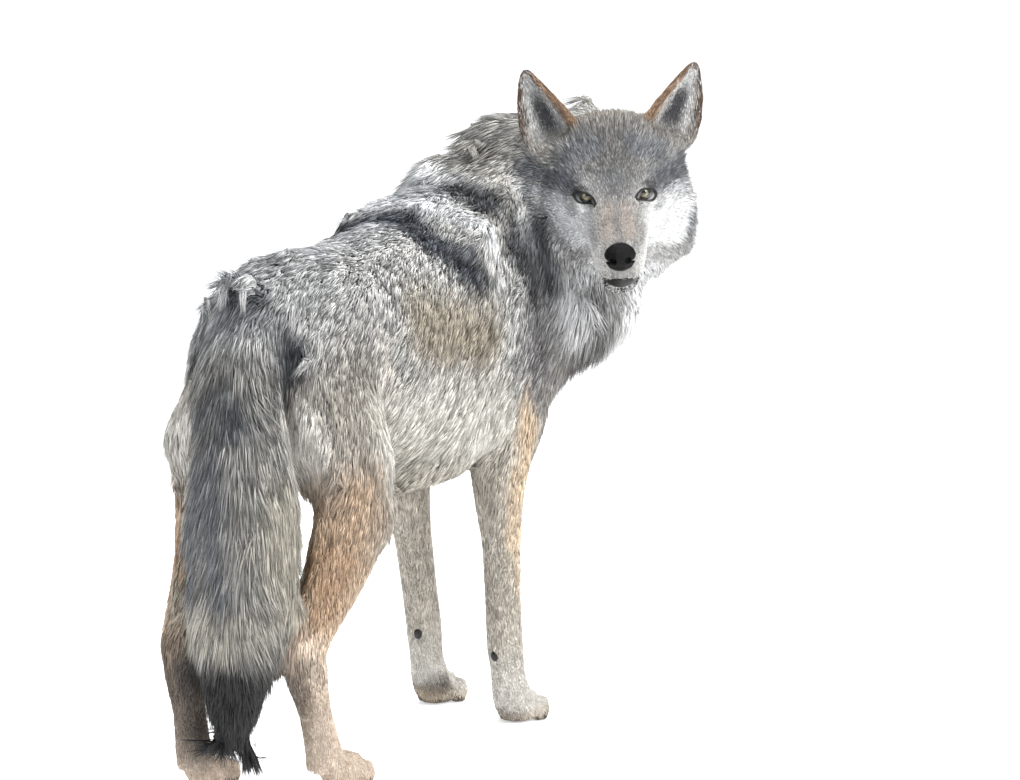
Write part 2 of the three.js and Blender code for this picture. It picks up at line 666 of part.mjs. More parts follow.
// ---------------------------------------------------------------- nodes
const standard = (color, roughness) => new THREE.MeshStandardMaterial({ color, roughness });
const materials = {
  back: standard(0x77746f, 0.95),
  coat: standard(0x8f8a80, 0.95),
  limb: standard(0xc2a685, 0.95),
  mask: standard(0xb9b3a8, 0.95),
  ear: standard(0xa98259, 0.95),
  nose: standard(0x1a1b20, 0.35),
  eye: standard(0xb39a4c, 0.08),
  claw: standard(0x2a2622, 0.4),
};

function addNode(group, name, solid, material) {
  const whole = largest(solid);
  const box = whole.boundingBox();
  const centre = box.min.map((low, k) => (low + box.max[k]) / 2);
  const mesh = new THREE.Mesh(geometryOf(whole.translate(centre.map((c) => -c))), material);
  mesh.name = name;
  mesh.position.set(...centre);
  group.add(mesh);
}

// Locks lie over the parts behind them. laid holds what earlier parts laid, grown by GAP, and each later part is
// cut clear of it. A part's own locks are cut clear of rest, the cores round it.
const laid = [];
const solidsOf = (locks, grow = 0) => join(locks.map((each) => lock(each, grow)));
function furred(core, rest, locks) {
  if (!locks.length) return cut(core, ...laid);
  const whole = cut(join([core, solidsOf(locks).subtract(rest)]), ...laid);
  laid.push(solidsOf(locks, GAP));
  return whole;
}

// A lock grows where its root lies in the part's own space and on the outside of the whole. One that folds through
// itself, on the inside of a bend, stands out of its own grown copy by more than FOLD and is left out.
const FOLD = 150; // cubic millimetres
const holds = (solid, { x, y, z }) => {
  const low = [x - 1, y - 1, z - 1];
  return solid.intersect(block(low, low.map((value) => value + 2))).volume() > 4;
};
const outside = (whole, { form, t, phi }) => !holds(whole, form.point(t, phi, 5));
const sound = (each) => Math.abs(lock(each).subtract(lock(each, GAP)).volume()) < FOLD;
const rooted = (locks, space, whole) =>
  locks.filter((each) => {
    return holds(space, each.form.point(each.t, each.phi, -3)) && outside(whole, each) && sound(each);
  });

function footOf(leg, part) {
  const foot = join([trunk.intersect(part), leg.paw.foot.intersect(part)]);
  return cut(foot.intersect(everything), ...leg.paw.beds);
}

const wolf = new THREE.Group();

// ---------------------------------------------------------------- where the locks grow
const FLANK = { along: 4, round: 3, fall: -28, length: 185, width: 122 };
const BACK_LOCKS = { along: 3, round: 3, length: 185, width: 106 };
const MANE = { along: 2, round: 3, length: 150, width: 104, lift: 20 };
const BELLY = { along: 3, round: 2, length: 150, width: 104, droop: 14 };
const coatLocks = [
  ...patch(torsoForm, { from: [0.12, 42], to: [0.38, 138], ...MANE }),
  ...patch(torsoForm, { from: [0.38, 42], to: [0.97, 138], ...BACK_LOCKS }),
  ...patch(torsoForm, { from: [0.04, -48], to: [0.95, 40], ...FLANK }),
  ...patch(torsoForm, { from: [0.04, 140], to: [0.95, 228], ...FLANK }),
  ...patch(torsoForm, { from: [0.16, 234], to: [0.78, 306], ...BELLY }),
];
const COLLAR = { along: 2, round: 6, lie: 180 };
const neckLocks = [
  ...patch(neckRise, { from: [0, 0], to: [1, 360], ...COLLAR, length: 150, width: 124, lift: 24 }),
  ...patch(neckTurn, { from: [0.05, 0], to: [0.95, 360], ...COLLAR, length: 130, width: 116, lift: 22 }),
];
const RUFF_LOCKS = { along: 2, round: 5, length: 98, width: 86, lift: 24 };
const headLocks = patch(ruffForm, { from: [0.05, -170], to: [0.6, -10], ...RUFF_LOCKS });
const BRUSH = { along: 4, round: 4, length: 150, width: 92, lift: 13 };
const tailLocks = patch(tailForm, { from: [0, 0], to: [0.9, 360], ...BRUSH });
const BREECHES = { from: [0.06, 40], to: [0.4, 140], along: 2, round: 2, length: 120, width: 70, lift: 14 };
const ELBOW_FRINGE = { from: [0.12, 50], to: [0.42, 130], along: 2, round: 1, length: 100, width: 54, lift: 12 };
const THIGH_SIDE = { along: 2, round: 2, length: 110, width: 74, lift: 9 };
const THIGH_OUTSIDE = { right: [150, 270], left: [30, -90] };

function thighLocks({ form, name }) {
  const [from, to] = THIGH_OUTSIDE[name];
  return [...patch(form, BREECHES), ...patch(form, { from: [0.1, from], to: [0.34, to], ...THIGH_SIDE })];
}

// ---------------------------------------------------------------- head nodes
const head = headParts();
const headGroup = new THREE.Group();
headGroup.applyMatrix4(headFrame);
wolf.add(headGroup);

addNode(headGroup, "head", head.skull, materials.mask);
addNode(headGroup, "jaw", head.jaw, materials.mask);
addNode(headGroup, "nose", head.nose, materials.nose);
["left", "right"].forEach((name, k) => {
  addNode(headGroup, `eye_${name}`, head.eyes[k], materials.eye);
  addNode(headGroup, `ear_${name}`, head.ears[k], materials.ear);
});
laid.push(moved(head.bed, headFrame));

// ---------------------------------------------------------------- neck, torso and tail nodes
const torsoSpace = cut(everything, neckSpace(GAP), ...legs.map((leg) => legSpace(leg, GAP)));
const bodyLocks = [...coatLocks, ...neckLocks];
function bodyPart(space, locks) {
  return furred(trunk.intersect(space), trunkGrown.subtract(space), rooted(locks, space, trunk));
}
addNode(wolf, "neck", bodyPart(neckSpace(0), bodyLocks), materials.coat);

const tailSolid = tailForm.solid();
const tailGrown = tailForm.solid(GAP);
laid.push(tailGrown);
addNode(wolf, "torso", bodyPart(torsoSpace, bodyLocks), materials.back);
laid.splice(laid.indexOf(tailGrown), 1);

const tailLevels = [900, ...TAIL_CUTS, 0];
["base", "brush", "tip"].forEach((name, k) => {
  const slab = block([-200, 200, tailLevels[k + 1] + GAP / 2], [200, 700, tailLevels[k] - GAP / 2]);
  const rest = join([trunkGrown, tailGrown.subtract(slab)]);
  const solid = furred(tailSolid.intersect(slab), rest, rooted(tailLocks, slab, trunk));
  addNode(wolf, `tail_${name}`, solid, materials.coat);
});
laid.push(tailGrown);

// ---------------------------------------------------------------- leg nodes
const LEG_WORDS = {
  fore: { names: ["upper_arm", "forearm", "paw"], levels: [ELBOW_CUT, WRIST_CUT] },
  hind: { names: ["thigh", "shank", "paw"], levels: [KNEE_CUT, HOCK_CUT] },
};
for (const leg of legs) {
  const group = new THREE.Group();
  wolf.add(group);
  const { names, levels } = LEG_WORDS[leg.end];
  const space = legSpace(leg);
  const own = leg.end === "hind" ? thighLocks(leg) : patch(leg.form, ELBOW_FRINGE);
  const edges = [900, ...levels, 0];
  names.forEach((name, k) => {
    const low = k === 2 ? 0 : edges[k + 1] + GAP / 2;
    const slab = block([-400, -700, low], [400, 700, edges[k] - GAP / 2]);
    const part = space.intersect(slab);
    const core = k < 2 ? trunk.intersect(part) : footOf(leg, part);
    const locks = rooted([...coatLocks, ...own], part, trunk);
    addNode(group, `${leg.end}_${name}_${leg.name}`, furred(core, trunkGrown.subtract(part), locks), materials.limb);
  });
  leg.paw.claws.forEach((solid, k) => {
    addNode(group, `${leg.end}_claw_${leg.name}_${k + 1}`, solid, materials.claw);
  });
}

// The origin is on the floor under the middle of the whole outline.
const outline = new THREE.Box3().setFromObject(wolf, true);
wolf.position.set(-(outline.min.x + outline.max.x) / 2, -(outline.min.y + outline.max.y) / 2, 0);

export default wolf;
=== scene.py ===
from math import cos, pi, radians, sin, sqrt

import bpy
import numpy as np
from mathutils import Matrix, Vector, noise
from mathutils.bvhtree import BVHTree
from mathutils.kdtree import KDTree


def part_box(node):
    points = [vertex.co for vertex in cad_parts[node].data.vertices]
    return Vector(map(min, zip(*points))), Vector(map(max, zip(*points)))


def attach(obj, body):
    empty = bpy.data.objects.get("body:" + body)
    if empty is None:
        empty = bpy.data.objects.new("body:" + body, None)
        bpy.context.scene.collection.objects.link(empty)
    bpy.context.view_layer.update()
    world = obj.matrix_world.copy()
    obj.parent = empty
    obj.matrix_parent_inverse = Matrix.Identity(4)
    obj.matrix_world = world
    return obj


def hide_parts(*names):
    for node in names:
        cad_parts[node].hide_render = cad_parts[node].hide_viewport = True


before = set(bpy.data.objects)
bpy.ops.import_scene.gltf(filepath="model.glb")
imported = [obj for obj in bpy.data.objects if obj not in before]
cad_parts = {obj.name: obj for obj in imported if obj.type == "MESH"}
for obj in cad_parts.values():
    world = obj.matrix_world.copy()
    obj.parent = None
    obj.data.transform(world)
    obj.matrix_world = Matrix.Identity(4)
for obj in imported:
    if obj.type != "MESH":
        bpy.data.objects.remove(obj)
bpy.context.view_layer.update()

# ---------------------------------------------------------------- place, camera, light and floor
# The wolf's own places are measured from the middle of its stance, and STANCE moves them to where the packed
# model stands. The head has a frame of its own, between the eyes, with -Y down the muzzle.
HEAD_AT = Vector((-0.253, -0.263, 0.765))
HEAD_TURN, HEAD_PITCH, HEAD_ROLL = radians(-155), radians(24), radians(-3.5)
EYE_OUT = 0.040


def middle(node):
    low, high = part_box(node)
    return (low + high) / 2


STANCE = (middle("eye_left") + middle("eye_right")) / 2 - HEAD_AT
HEAD = (
    Matrix.Translation(STANCE + HEAD_AT)
    @ Matrix.Rotation(HEAD_TURN, 4, "Z")
    @ Matrix.Rotation(HEAD_PITCH, 4, "X")
    @ Matrix.Rotation(HEAD_ROLL, 4, "Y")
)

CAMERA_AT = Vector((-2.903, 6.370, 1.17))
CAMERA_AIM = Vector((-0.1837, -0.0461, 0.5038))
bpy.ops.object.camera_add(location=STANCE + CAMERA_AT)
camera = bpy.context.object
camera.name = "camera"
camera.rotation_euler = (CAMERA_AIM - CAMERA_AT).to_track_quat("-Z", "Y").to_euler()
camera.data.sensor_width = 36
camera.data.lens = 178.8
camera.data.clip_end = 60
bpy.context.scene.camera = camera

LAMPS = {
    # place, size, power, colour
    "key_light": ((-4.6, 1.8, 3.6), 2.2, 300, (1.0, 0.985, 0.96)),
    "fill_light": ((1.6, 5.4, 2.0), 3.0, 62, (0.92, 0.96, 1.0)),
    "back_light": ((0.6, -3.2, 3.4), 3.0, 110, (0.96, 0.98, 1.0)),
    "sky_light": ((0.0, 0.3, 4.2), 3.6, 130, (0.97, 0.985, 1.0)),
}
for name, (place, size, power, colour) in LAMPS.items():
    bpy.ops.object.light_add(type="AREA", location=STANCE + Vector(place))
    lamp = bpy.context.object
    lamp.name = name
    lamp.data.size = size
    lamp.data.energy = power
    lamp.data.color = colour
    lamp.rotation_euler = (Vector((0, 0, 0.5)) - Vector(place)).to_track_quat("-Z", "Y").to_euler()

world = bpy.data.worlds.new("studio")
bpy.context.scene.world = world
world.use_nodes = True
world.node_tree.nodes["Background"].inputs["Color"].default_value = (0.94, 0.96, 1.0, 1)
world.node_tree.nodes["Background"].inputs["Strength"].default_value = 0.45
bpy.context.scene.view_settings.view_transform = "Standard"


def linear(*shade):
    """A colour of the eye, from 0 to 255, as the light that it reflects."""
    return (np.array(shade) / 255) ** 2.2


def new_material(name, colour=(200, 200, 200), roughness=0.8):
    material = bpy.data.materials.new(name)
    material.use_nodes = True
    surface = material.node_tree.nodes["Principled BSDF"]
    surface.inputs["Base Color"].default_value = (*linear(*colour), 1)
    surface.inputs["Roughness"].default_value = roughness
    return material, material.node_tree, surface


def add_node(tree, kind, links=(), **values):
    """A shader node with its inputs and settings. links are (input, socket that feeds it)."""
    node = tree.nodes.new(kind)
    for name, value in values.items():
        if name in node.inputs:
            node.inputs[name].default_value = value
        else:
            setattr(node, name, value)
    for name, socket in links:
        tree.links.new(socket, node.inputs[name])
    return node


def add_relief(tree, surface, height, strength, distance):
    bump = add_node(tree, "ShaderNodeBump", [("Height", height)], Strength=strength, Distance=distance)
    tree.links.new(bump.outputs["Normal"], surface.inputs["Normal"])


# The floor is one sheet of pale paper that curves up behind the wolf.
VIEW_TURN, FLOOR_SIZE, WALL_HEIGHT, WALL_CURVE = radians(-23), 30.0, 9.0, 3.0
BEHIND = Vector((-sin(VIEW_TURN), -cos(VIEW_TURN), 0))
bpy.ops.mesh.primitive_plane_add(
    size=FLOOR_SIZE, location=STANCE + Vector((0, 0, -0.0005)), rotation=(0, 0, -VIEW_TURN)
)
floor = bpy.context.object
floor.name = "floor"
bpy.ops.object.transform_apply(location=True, rotation=True, scale=True)


def select_far_edge():
    """Selects the floor's edge that lies furthest behind the wolf."""
    bpy.ops.object.mode_set(mode="OBJECT")
    far = max(vertex.co @ BEHIND for vertex in floor.data.vertices)
    for edge in floor.data.edges:
        ends = [floor.data.vertices[corner].co for corner in edge.vertices]
        edge.select = all(end @ BEHIND > far - 0.01 and end.z < 0.1 for end in ends)
    bpy.ops.object.mode_set(mode="EDIT")


bpy.ops.object.mode_set(mode="EDIT")
bpy.ops.mesh.select_mode(type="EDGE")
bpy.ops.mesh.select_all(action="DESELECT")
select_far_edge()
bpy.ops.mesh.extrude_region_move(TRANSFORM_OT_translate={"value": (0, 0, WALL_HEIGHT)})
bpy.ops.mesh.select_all(action="DESELECT")
select_far_edge()
bpy.ops.mesh.bevel(offset=WALL_CURVE, segments=16)
bpy.ops.mesh.select_mode(type="VERT")
bpy.ops.object.mode_set(mode="OBJECT")
bpy.ops.object.shade_smooth()
floor_paint, tree, surface = new_material("pale_paper", (238, 238, 238), 0.9)
surface.inputs["Emission Color"].default_value = (1.0, 1.0, 1.0, 1)
surface.inputs["Emission Strength"].default_value = 0.55
speck = add_node(tree, "ShaderNodeTexNoise", Scale=90.0, Detail=3.0)
add_relief(tree, surface, speck.outputs["Fac"], 0.03, 0.001)
floor.data.materials.append(floor_paint)

# ---------------------------------------------------------------- skin
# The wolf's hide, one skin from nose to tail that the coat grows from, finer over the head. It lies under the
# solid's outline by the depth of the coat, which differs over the regions of the body.
REGIONS = (
    "head", "jaw", "ear", "neck", "torso", "tail",
    "upper_arm", "forearm", "fore_paw", "thigh", "shank", "hind_paw",
)
SKIN_DEPTH = {
    "head": 0.002, "jaw": 0.002, "ear": 0.0002, "neck": 0.009, "torso": 0.008, "tail": 0.006,
    "upper_arm": -0.004, "forearm": 0.001, "fore_paw": 0.001,
    "thigh": 0.004, "shank": -0.003, "hind_paw": 0.001,
}
# How strongly the skin is evened, which takes the solid's facets and locks out of it.
EVENNESS = {
    "head": 0.5, "jaw": 0.4, "ear": 0.05, "neck": 0.62, "torso": 0.62, "tail": 0.62,
    "upper_arm": 0.62, "forearm": 0.45, "fore_paw": 0.05, "thigh": 0.62, "shank": 0.45, "hind_paw": 0.05,
}
EVEN_ROUNDS, TRUNK_ROUNDS, REGAIN, CALM = 160, 60, 1.035, 0.5
FINE_CELL, FUSED, GAP_CLOSED = 0.0023, 0.0006, 0.0055
TRUNK_SHARE, HEAD_BACK, HEAD_REACH, PAW_TOP = 0.13, 0.115, 0.21, 0.06


def region_of(node):
    """The region of a solid, by the longest name in its own, since an ear is also in a forearm's name."""
    return max((region for region in REGIONS if region in node), key=len)


def apply_modifier(kind, **settings):
    """Adds a modifier to the active piece, sets it and applies it."""
    bpy.ops.object.modifier_add(type=kind)
    modifier = bpy.context.object.modifiers[-1]
    for name, value in settings.items():
        setattr(modifier, name, value)
    bpy.ops.object.modifier_apply(modifier=modifier.name)


def merged_copy(name, nodes):
    """A copy of solids as one new piece, selected and active, with its loose triangles merged."""
    bpy.ops.object.select_all(action="DESELECT")
    for node in nodes:
        copy = bpy.data.objects.new(name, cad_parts[node].data.copy())
        copy.data.materials.clear()
        bpy.context.collection.objects.link(copy)
        copy.select_set(True)
        bpy.context.view_layer.objects.active = copy
    if len(nodes) > 1:
        bpy.ops.object.join()
    piece = bpy.context.object
    piece.name = name
    bpy.ops.object.mode_set(mode="EDIT")
    bpy.ops.mesh.select_all(action="SELECT")
    bpy.ops.mesh.remove_doubles(threshold=1e-5)
    bpy.ops.object.mode_set(mode="OBJECT")
    return piece


def read(data, name, width):
    """One value of every vertex, face or loop, as an array of rows."""
    values = np.empty(len(data) * width, np.int32 if name in ("vertices", "vertex_index") else np.float32)
    data.foreach_get(name, values)
    return values.reshape(-1, width)


def unit(vectors):
    return vectors / np.maximum(np.linalg.norm(vectors, axis=1), 1e-9)[:, None]


def evened(values, edges, rounds, amount, regain=0):
    """Draws each value to the mean of its neighbours, many times. A regain keeps a form's bulk."""
    values = values.copy()
    ends = np.concatenate([edges[:, 0], edges[:, 1]])
    others = np.concatenate([edges[:, 1], edges[:, 0]])
    count = np.bincount(ends, minlength=len(values))[:, None]
    for i in range(rounds):
        sums = [np.bincount(ends, column[others], len(values)) for column in values.T]
        step = -regain if regain and i % 2 else 1
        values += step * amount * (np.stack(sums, 1) / count - values)
    return values


to_head = np.array(HEAD.inverted())


def in_head(places):
    """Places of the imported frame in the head's own frame."""
    return places @ to_head[:3, :3].T + to_head[:3, 3]


def ramp(values, start, end):
    """From 0 at start to 1 at end."""
    return np.clip((values - start) / (end - start), 0, 1)


def blended(weights, table):
    return weights @ np.array([table[region] for region in REGIONS])


flesh = [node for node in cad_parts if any(region in node for region in REGIONS)]
solid_corners, solid_faces, solid_region = [], [], []
for node in flesh:
    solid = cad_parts[node].data
    first = len(solid_corners)
    solid_corners += [tuple(vertex.co) for vertex in solid.vertices]
    solid_faces += [[first + corner for corner in face.vertices] for face in solid.polygons]
    solid_region += [REGIONS.index(region_of(node))] * len(solid.polygons)
solid_tree = BVHTree.FromPolygons(solid_corners, solid_faces)

skin = merged_copy("skin", [*flesh, "eye_left", "eye_right", "nose"])
apply_modifier("DISPLACE", strength=FUSED, mid_level=0)
apply_modifier("REMESH", mode="VOXEL", voxel_size=FINE_CELL)

EAR_RISE, EAR_BACK, PAW_EDGE, FACE_EDGE = (0.06, 0.09), (0.18, 0.15), (0.06, 0.12), (0.15, 0.21)


def swell(piece, amount):
    """Moves the trunk's surface along its normals. The face, the ears and the paws stay as they are."""
    places = read(piece.data.vertices, "co", 3)
    local = in_head(places)
    share = ramp(np.linalg.norm(local, axis=1), *FACE_EDGE) * ramp(places[:, 2], *PAW_EDGE)
    share *= 1 - ramp(local[:, 2], *EAR_RISE) * ramp(local[:, 1], *EAR_BACK)
    places += read(piece.data.vertices, "normal", 3) * (amount * share)[:, None]
    piece.data.vertices.foreach_set("co", places.ravel())
    piece.data.update()


# Swollen, made one again and shrunk back, the trunk loses the narrow gaps between the solid's locks.
swell(skin, GAP_CLOSED)
apply_modifier("REMESH", mode="VOXEL", voxel_size=FINE_CELL)
swell(skin, -GAP_CLOSED)

# Only the outer shell is kept. Its trunk, below the long coat, is made coarser than the head and paws.
bpy.ops.object.mode_set(mode="EDIT")
bpy.ops.mesh.select_all(action="SELECT")
bpy.ops.mesh.separate(type="LOOSE")
bpy.ops.object.mode_set(mode="OBJECT")
shells = sorted(bpy.context.selected_objects, key=lambda shell: len(shell.data.vertices))
for hollow in shells[:-1]:
    bpy.data.objects.remove(hollow)
skin = shells[-1]
skin.name = "skin"
skin.select_set(True)
bpy.context.view_layer.objects.active = skin
bpy.ops.object.mode_set(mode="EDIT")
bpy.ops.mesh.select_all(action="SELECT")
bpy.ops.mesh.quads_convert_to_tris()
bpy.ops.mesh.select_mode(type="FACE")
bpy.ops.mesh.select_all(action="DESELECT")
bpy.ops.object.mode_set(mode="OBJECT")
face_middles = read(skin.data.polygons, "center", 3)
local = in_head(face_middles)
is_trunk = (local[:, 1] > HEAD_BACK) | (np.linalg.norm(local, axis=1) > HEAD_REACH)
is_trunk &= face_middles[:, 2] > PAW_TOP
skin.data.polygons.foreach_set("select", is_trunk)
bpy.ops.object.mode_set(mode="EDIT")
bpy.ops.mesh.decimate(ratio=TRUNK_SHARE)
bpy.ops.mesh.select_mode(type="VERT")
bpy.ops.object.mode_set(mode="OBJECT")

# Each place of the skin takes its region from the nearest solid, and the borders between regions are evened.
NEIGHBOUR_ROUNDS, NEIGHBOUR_SHARE = 60, 0.7
skin_edges = read(skin.data.edges, "vertices", 2)
skin_places = read(skin.data.vertices, "co", 3)
skin_weights = np.zeros((len(skin_places), len(REGIONS)))
for i, place in enumerate(skin_places):
    skin_weights[i, solid_region[solid_tree.find_nearest(place)[2]]] = 1
skin_weights = evened(skin_weights, skin_edges, NEIGHBOUR_ROUNDS, NEIGHBOUR_SHARE)

# The trunk, the root of the tail and the ruff behind the cheeks are evened more than the rest.
RUFF_START, RUFF_RISE, RUFF_FADE, RUFF_DEPTH, RUFF_ROUNDS = 0.03, 0.05, (0.24, 0.19), -0.005, 320
TRUNK_EDGE = (0.4, 0.9)
TAIL_SET, TAIL_SET_FADE = (-0.008, 0.392, 0.678), (0.12, 0.05)
local = in_head(skin_places)
back_of_head = ramp(local[:, 1], RUFF_START, RUFF_START + RUFF_RISE)
back_of_head = back_of_head * (skin_weights[:, 0] + skin_weights[:, 3])
back_of_head *= ramp(np.linalg.norm(local, axis=1), *RUFF_FADE)
trunk = ramp(skin_weights[:, 3:6].sum(1), *TRUNK_EDGE)[:, None]
skin_places = evened(skin_places, skin_edges, TRUNK_ROUNDS, CALM * trunk)
from_tail_set = np.linalg.norm(skin_places - np.array(STANCE) - TAIL_SET, axis=1)
tail_set = ramp(from_tail_set, *TAIL_SET_FADE)[:, None]
skin_places = evened(skin_places, skin_edges, 2 * TRUNK_ROUNDS, CALM * tail_set)
skin_places = evened(skin_places, skin_edges, EVEN_ROUNDS, blended(skin_weights, EVENNESS)[:, None], REGAIN)
skin_places = evened(skin_places, skin_edges, RUFF_ROUNDS, CALM * back_of_head[:, None])
skin.data.vertices.foreach_set("co", skin_places.ravel())
skin.data.update()

# It lies deeper or stands out by the depth of the coat, and swells at the chest and the crown.
CHEST_DEPTH, CHEST_SIDE, CHEST_FRONT, CHEST_TOP = -0.026, (0.08, 0.0), (-0.24, -0.32), (0.70, 0.60)
CROWN_DEPTH, CROWN_SIDE, CROWN_TOP = -0.010, (0.055, 0.03), (0.03, 0.055)
CROWN_FRONT, CROWN_BACK = (0.03, 0.07), (0.16, 0.13)
NOSE_BED, NOSE_BED_DEPTH, NOSE_BED_EDGE = (0, -0.110, -0.045), 0.005, (0.026, 0.018)


def on_chest(places, weights):
    """The front of the neck and body below the head, on the side where the coat bunches as the head turns."""
    own = places - np.array(STANCE)
    low = ramp(own[:, 2], *CHEST_TOP) * ramp(own[:, 1], *CHEST_FRONT)
    return weights[:, 3:5].sum(1) * low * ramp(own[:, 0], *CHEST_SIDE)


def on_crown(places):
    """The top of the head between the ears."""
    local = in_head(places)
    middle = ramp(np.abs(local[:, 0]), *CROWN_SIDE) * ramp(local[:, 2], *CROWN_TOP)
    return middle * ramp(local[:, 1], *CROWN_FRONT) * ramp(local[:, 1], *CROWN_BACK)


depth = blended(skin_weights, SKIN_DEPTH) + RUFF_DEPTH * back_of_head
depth += CHEST_DEPTH * on_chest(skin_places, skin_weights) + CROWN_DEPTH * on_crown(skin_places)
depth += NOSE_BED_DEPTH * ramp(np.linalg.norm(in_head(skin_places) - NOSE_BED, axis=1), *NOSE_BED_EDGE)
skin_places -= read(skin.data.vertices, "normal", 3) * depth[:, None]
skin_places = evened(skin_places, skin_edges, 3, 0.3)

# The eye sockets are hollowed behind the opening of the lids.
EYE_TURN, EYE_SLANT = radians(16), {1: radians(20), -1: radians(3)}
LID_HALF, LID_UP, LID_DOWN = 0.0178, 0.0084, 0.0066
SOCKET, SOCKET_EDGE, EYE_REACH, OUT_OF_REACH = 0.0095, (1.05, 0.8), 0.035, 9


def eye_frame(side):
    """The eye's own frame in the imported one: -Y looks out, and +X is away from the muzzle."""
    turn = Matrix.Rotation(EYE_TURN * side, 4, "Z") @ Matrix.Rotation(EYE_SLANT[side] * side, 4, "Y")
    return HEAD @ Matrix.Translation((side * EYE_OUT, 0, 0)) @ turn @ Matrix.Diagonal((side, 1, 1, 1))


def lid_share(places, side):
    """How far each place is from the middle of the lids' opening, 1 on its rim, and its place in the eye."""
    turn = np.array(eye_frame(side).inverted())
    own = places @ turn[:3, :3].T + turn[:3, 3]
    arch = np.where(own[:, 2] > 0, LID_UP, LID_DOWN)
    share = np.hypot(own[:, 0] / LID_HALF, own[:, 2] / arch)
    return np.where(np.linalg.norm(own, axis=1) < EYE_REACH, share, OUT_OF_REACH), own


for side in (1, -1):
    share, own = lid_share(skin_places, side)
    hollow = ramp(share, *SOCKET_EDGE)[:, None] * (own[:, 1:2] < 0)
    inward = np.minimum(SOCKET / np.maximum(np.linalg.norm(own, axis=1), 1e-6), 1)[:, None]
    eye_at = np.array(eye_frame(side).translation)
    skin_places += hollow * (1 - inward) * (eye_at - skin_places)
skin.data.vertices.foreach_set("co", skin_places.ravel())
skin.data.update()

bpy.ops.object.mode_set(mode="EDIT")
bpy.ops.mesh.select_all(action="SELECT")
bpy.ops.mesh.normals_make_consistent(inside=False)
bpy.ops.uv.smart_project(angle_limit=radians(66), island_margin=0.001)
bpy.ops.object.mode_set(mode="OBJECT")
skin.data.uv_layers[0].name = "OFBake"
bpy.ops.object.shade_smooth()

skin_normals = evened(
    read(skin.data.vertices, "normal", 3), skin_edges, 25, blended(skin_weights, EVENNESS)[:, None]
)
skin_normals = unit(skin_normals)
skin_faces = read(skin.data.loops, "vertex_index", 1).reshape(-1, 3)
skin_uv = read(skin.data.uv_layers[0].data, "uv", 2).reshape(-1, 3, 2)
skin_tree = BVHTree.FromPolygons(skin_places.tolist(), skin_faces.tolist())

# ---------------------------------------------------------------- markings
# A grizzled grey coat: light hair with black tips, darker along the back, in a cape behind the shoulders and
# at the tail's tip, tan on flanks and legs, white on cheeks, muzzle and throat. Skin and hair share these
# markings, which are worked out for each place from soft-edged lines. Some are painted shade: the fold at
# the neck, the shade behind and under the cheek and the deep hollow of each ear.
GROUND = {
    # light hair, dark hair, share of dark
    "head": ((176, 174, 170), (78, 79, 82), 0.45),
    "jaw": ((236, 234, 232), (190, 188, 186), 0.1),
    "ear": ((176, 170, 160), (94, 89, 83), 0.36),
    "neck": ((206, 202, 194), (66, 66, 66), 0.48),
    "torso": ((222, 221, 217), (52, 55, 61), 0.42),
    "tail": ((170, 167, 160), (46, 48, 53), 0.6),
    "upper_arm": ((200, 188, 172), (118, 108, 97), 0.3),
    "forearm": ((204, 195, 180), (138, 126, 108), 0.3),
    "fore_paw": ((218, 213, 204), (160, 151, 138), 0.2),
    "thigh": ((182, 173, 160), (96, 91, 84), 0.45),
    "shank": ((226, 198, 168), (166, 134, 104), 0.22),
    "hind_paw": ((226, 204, 182), (168, 142, 118), 0.2),
}
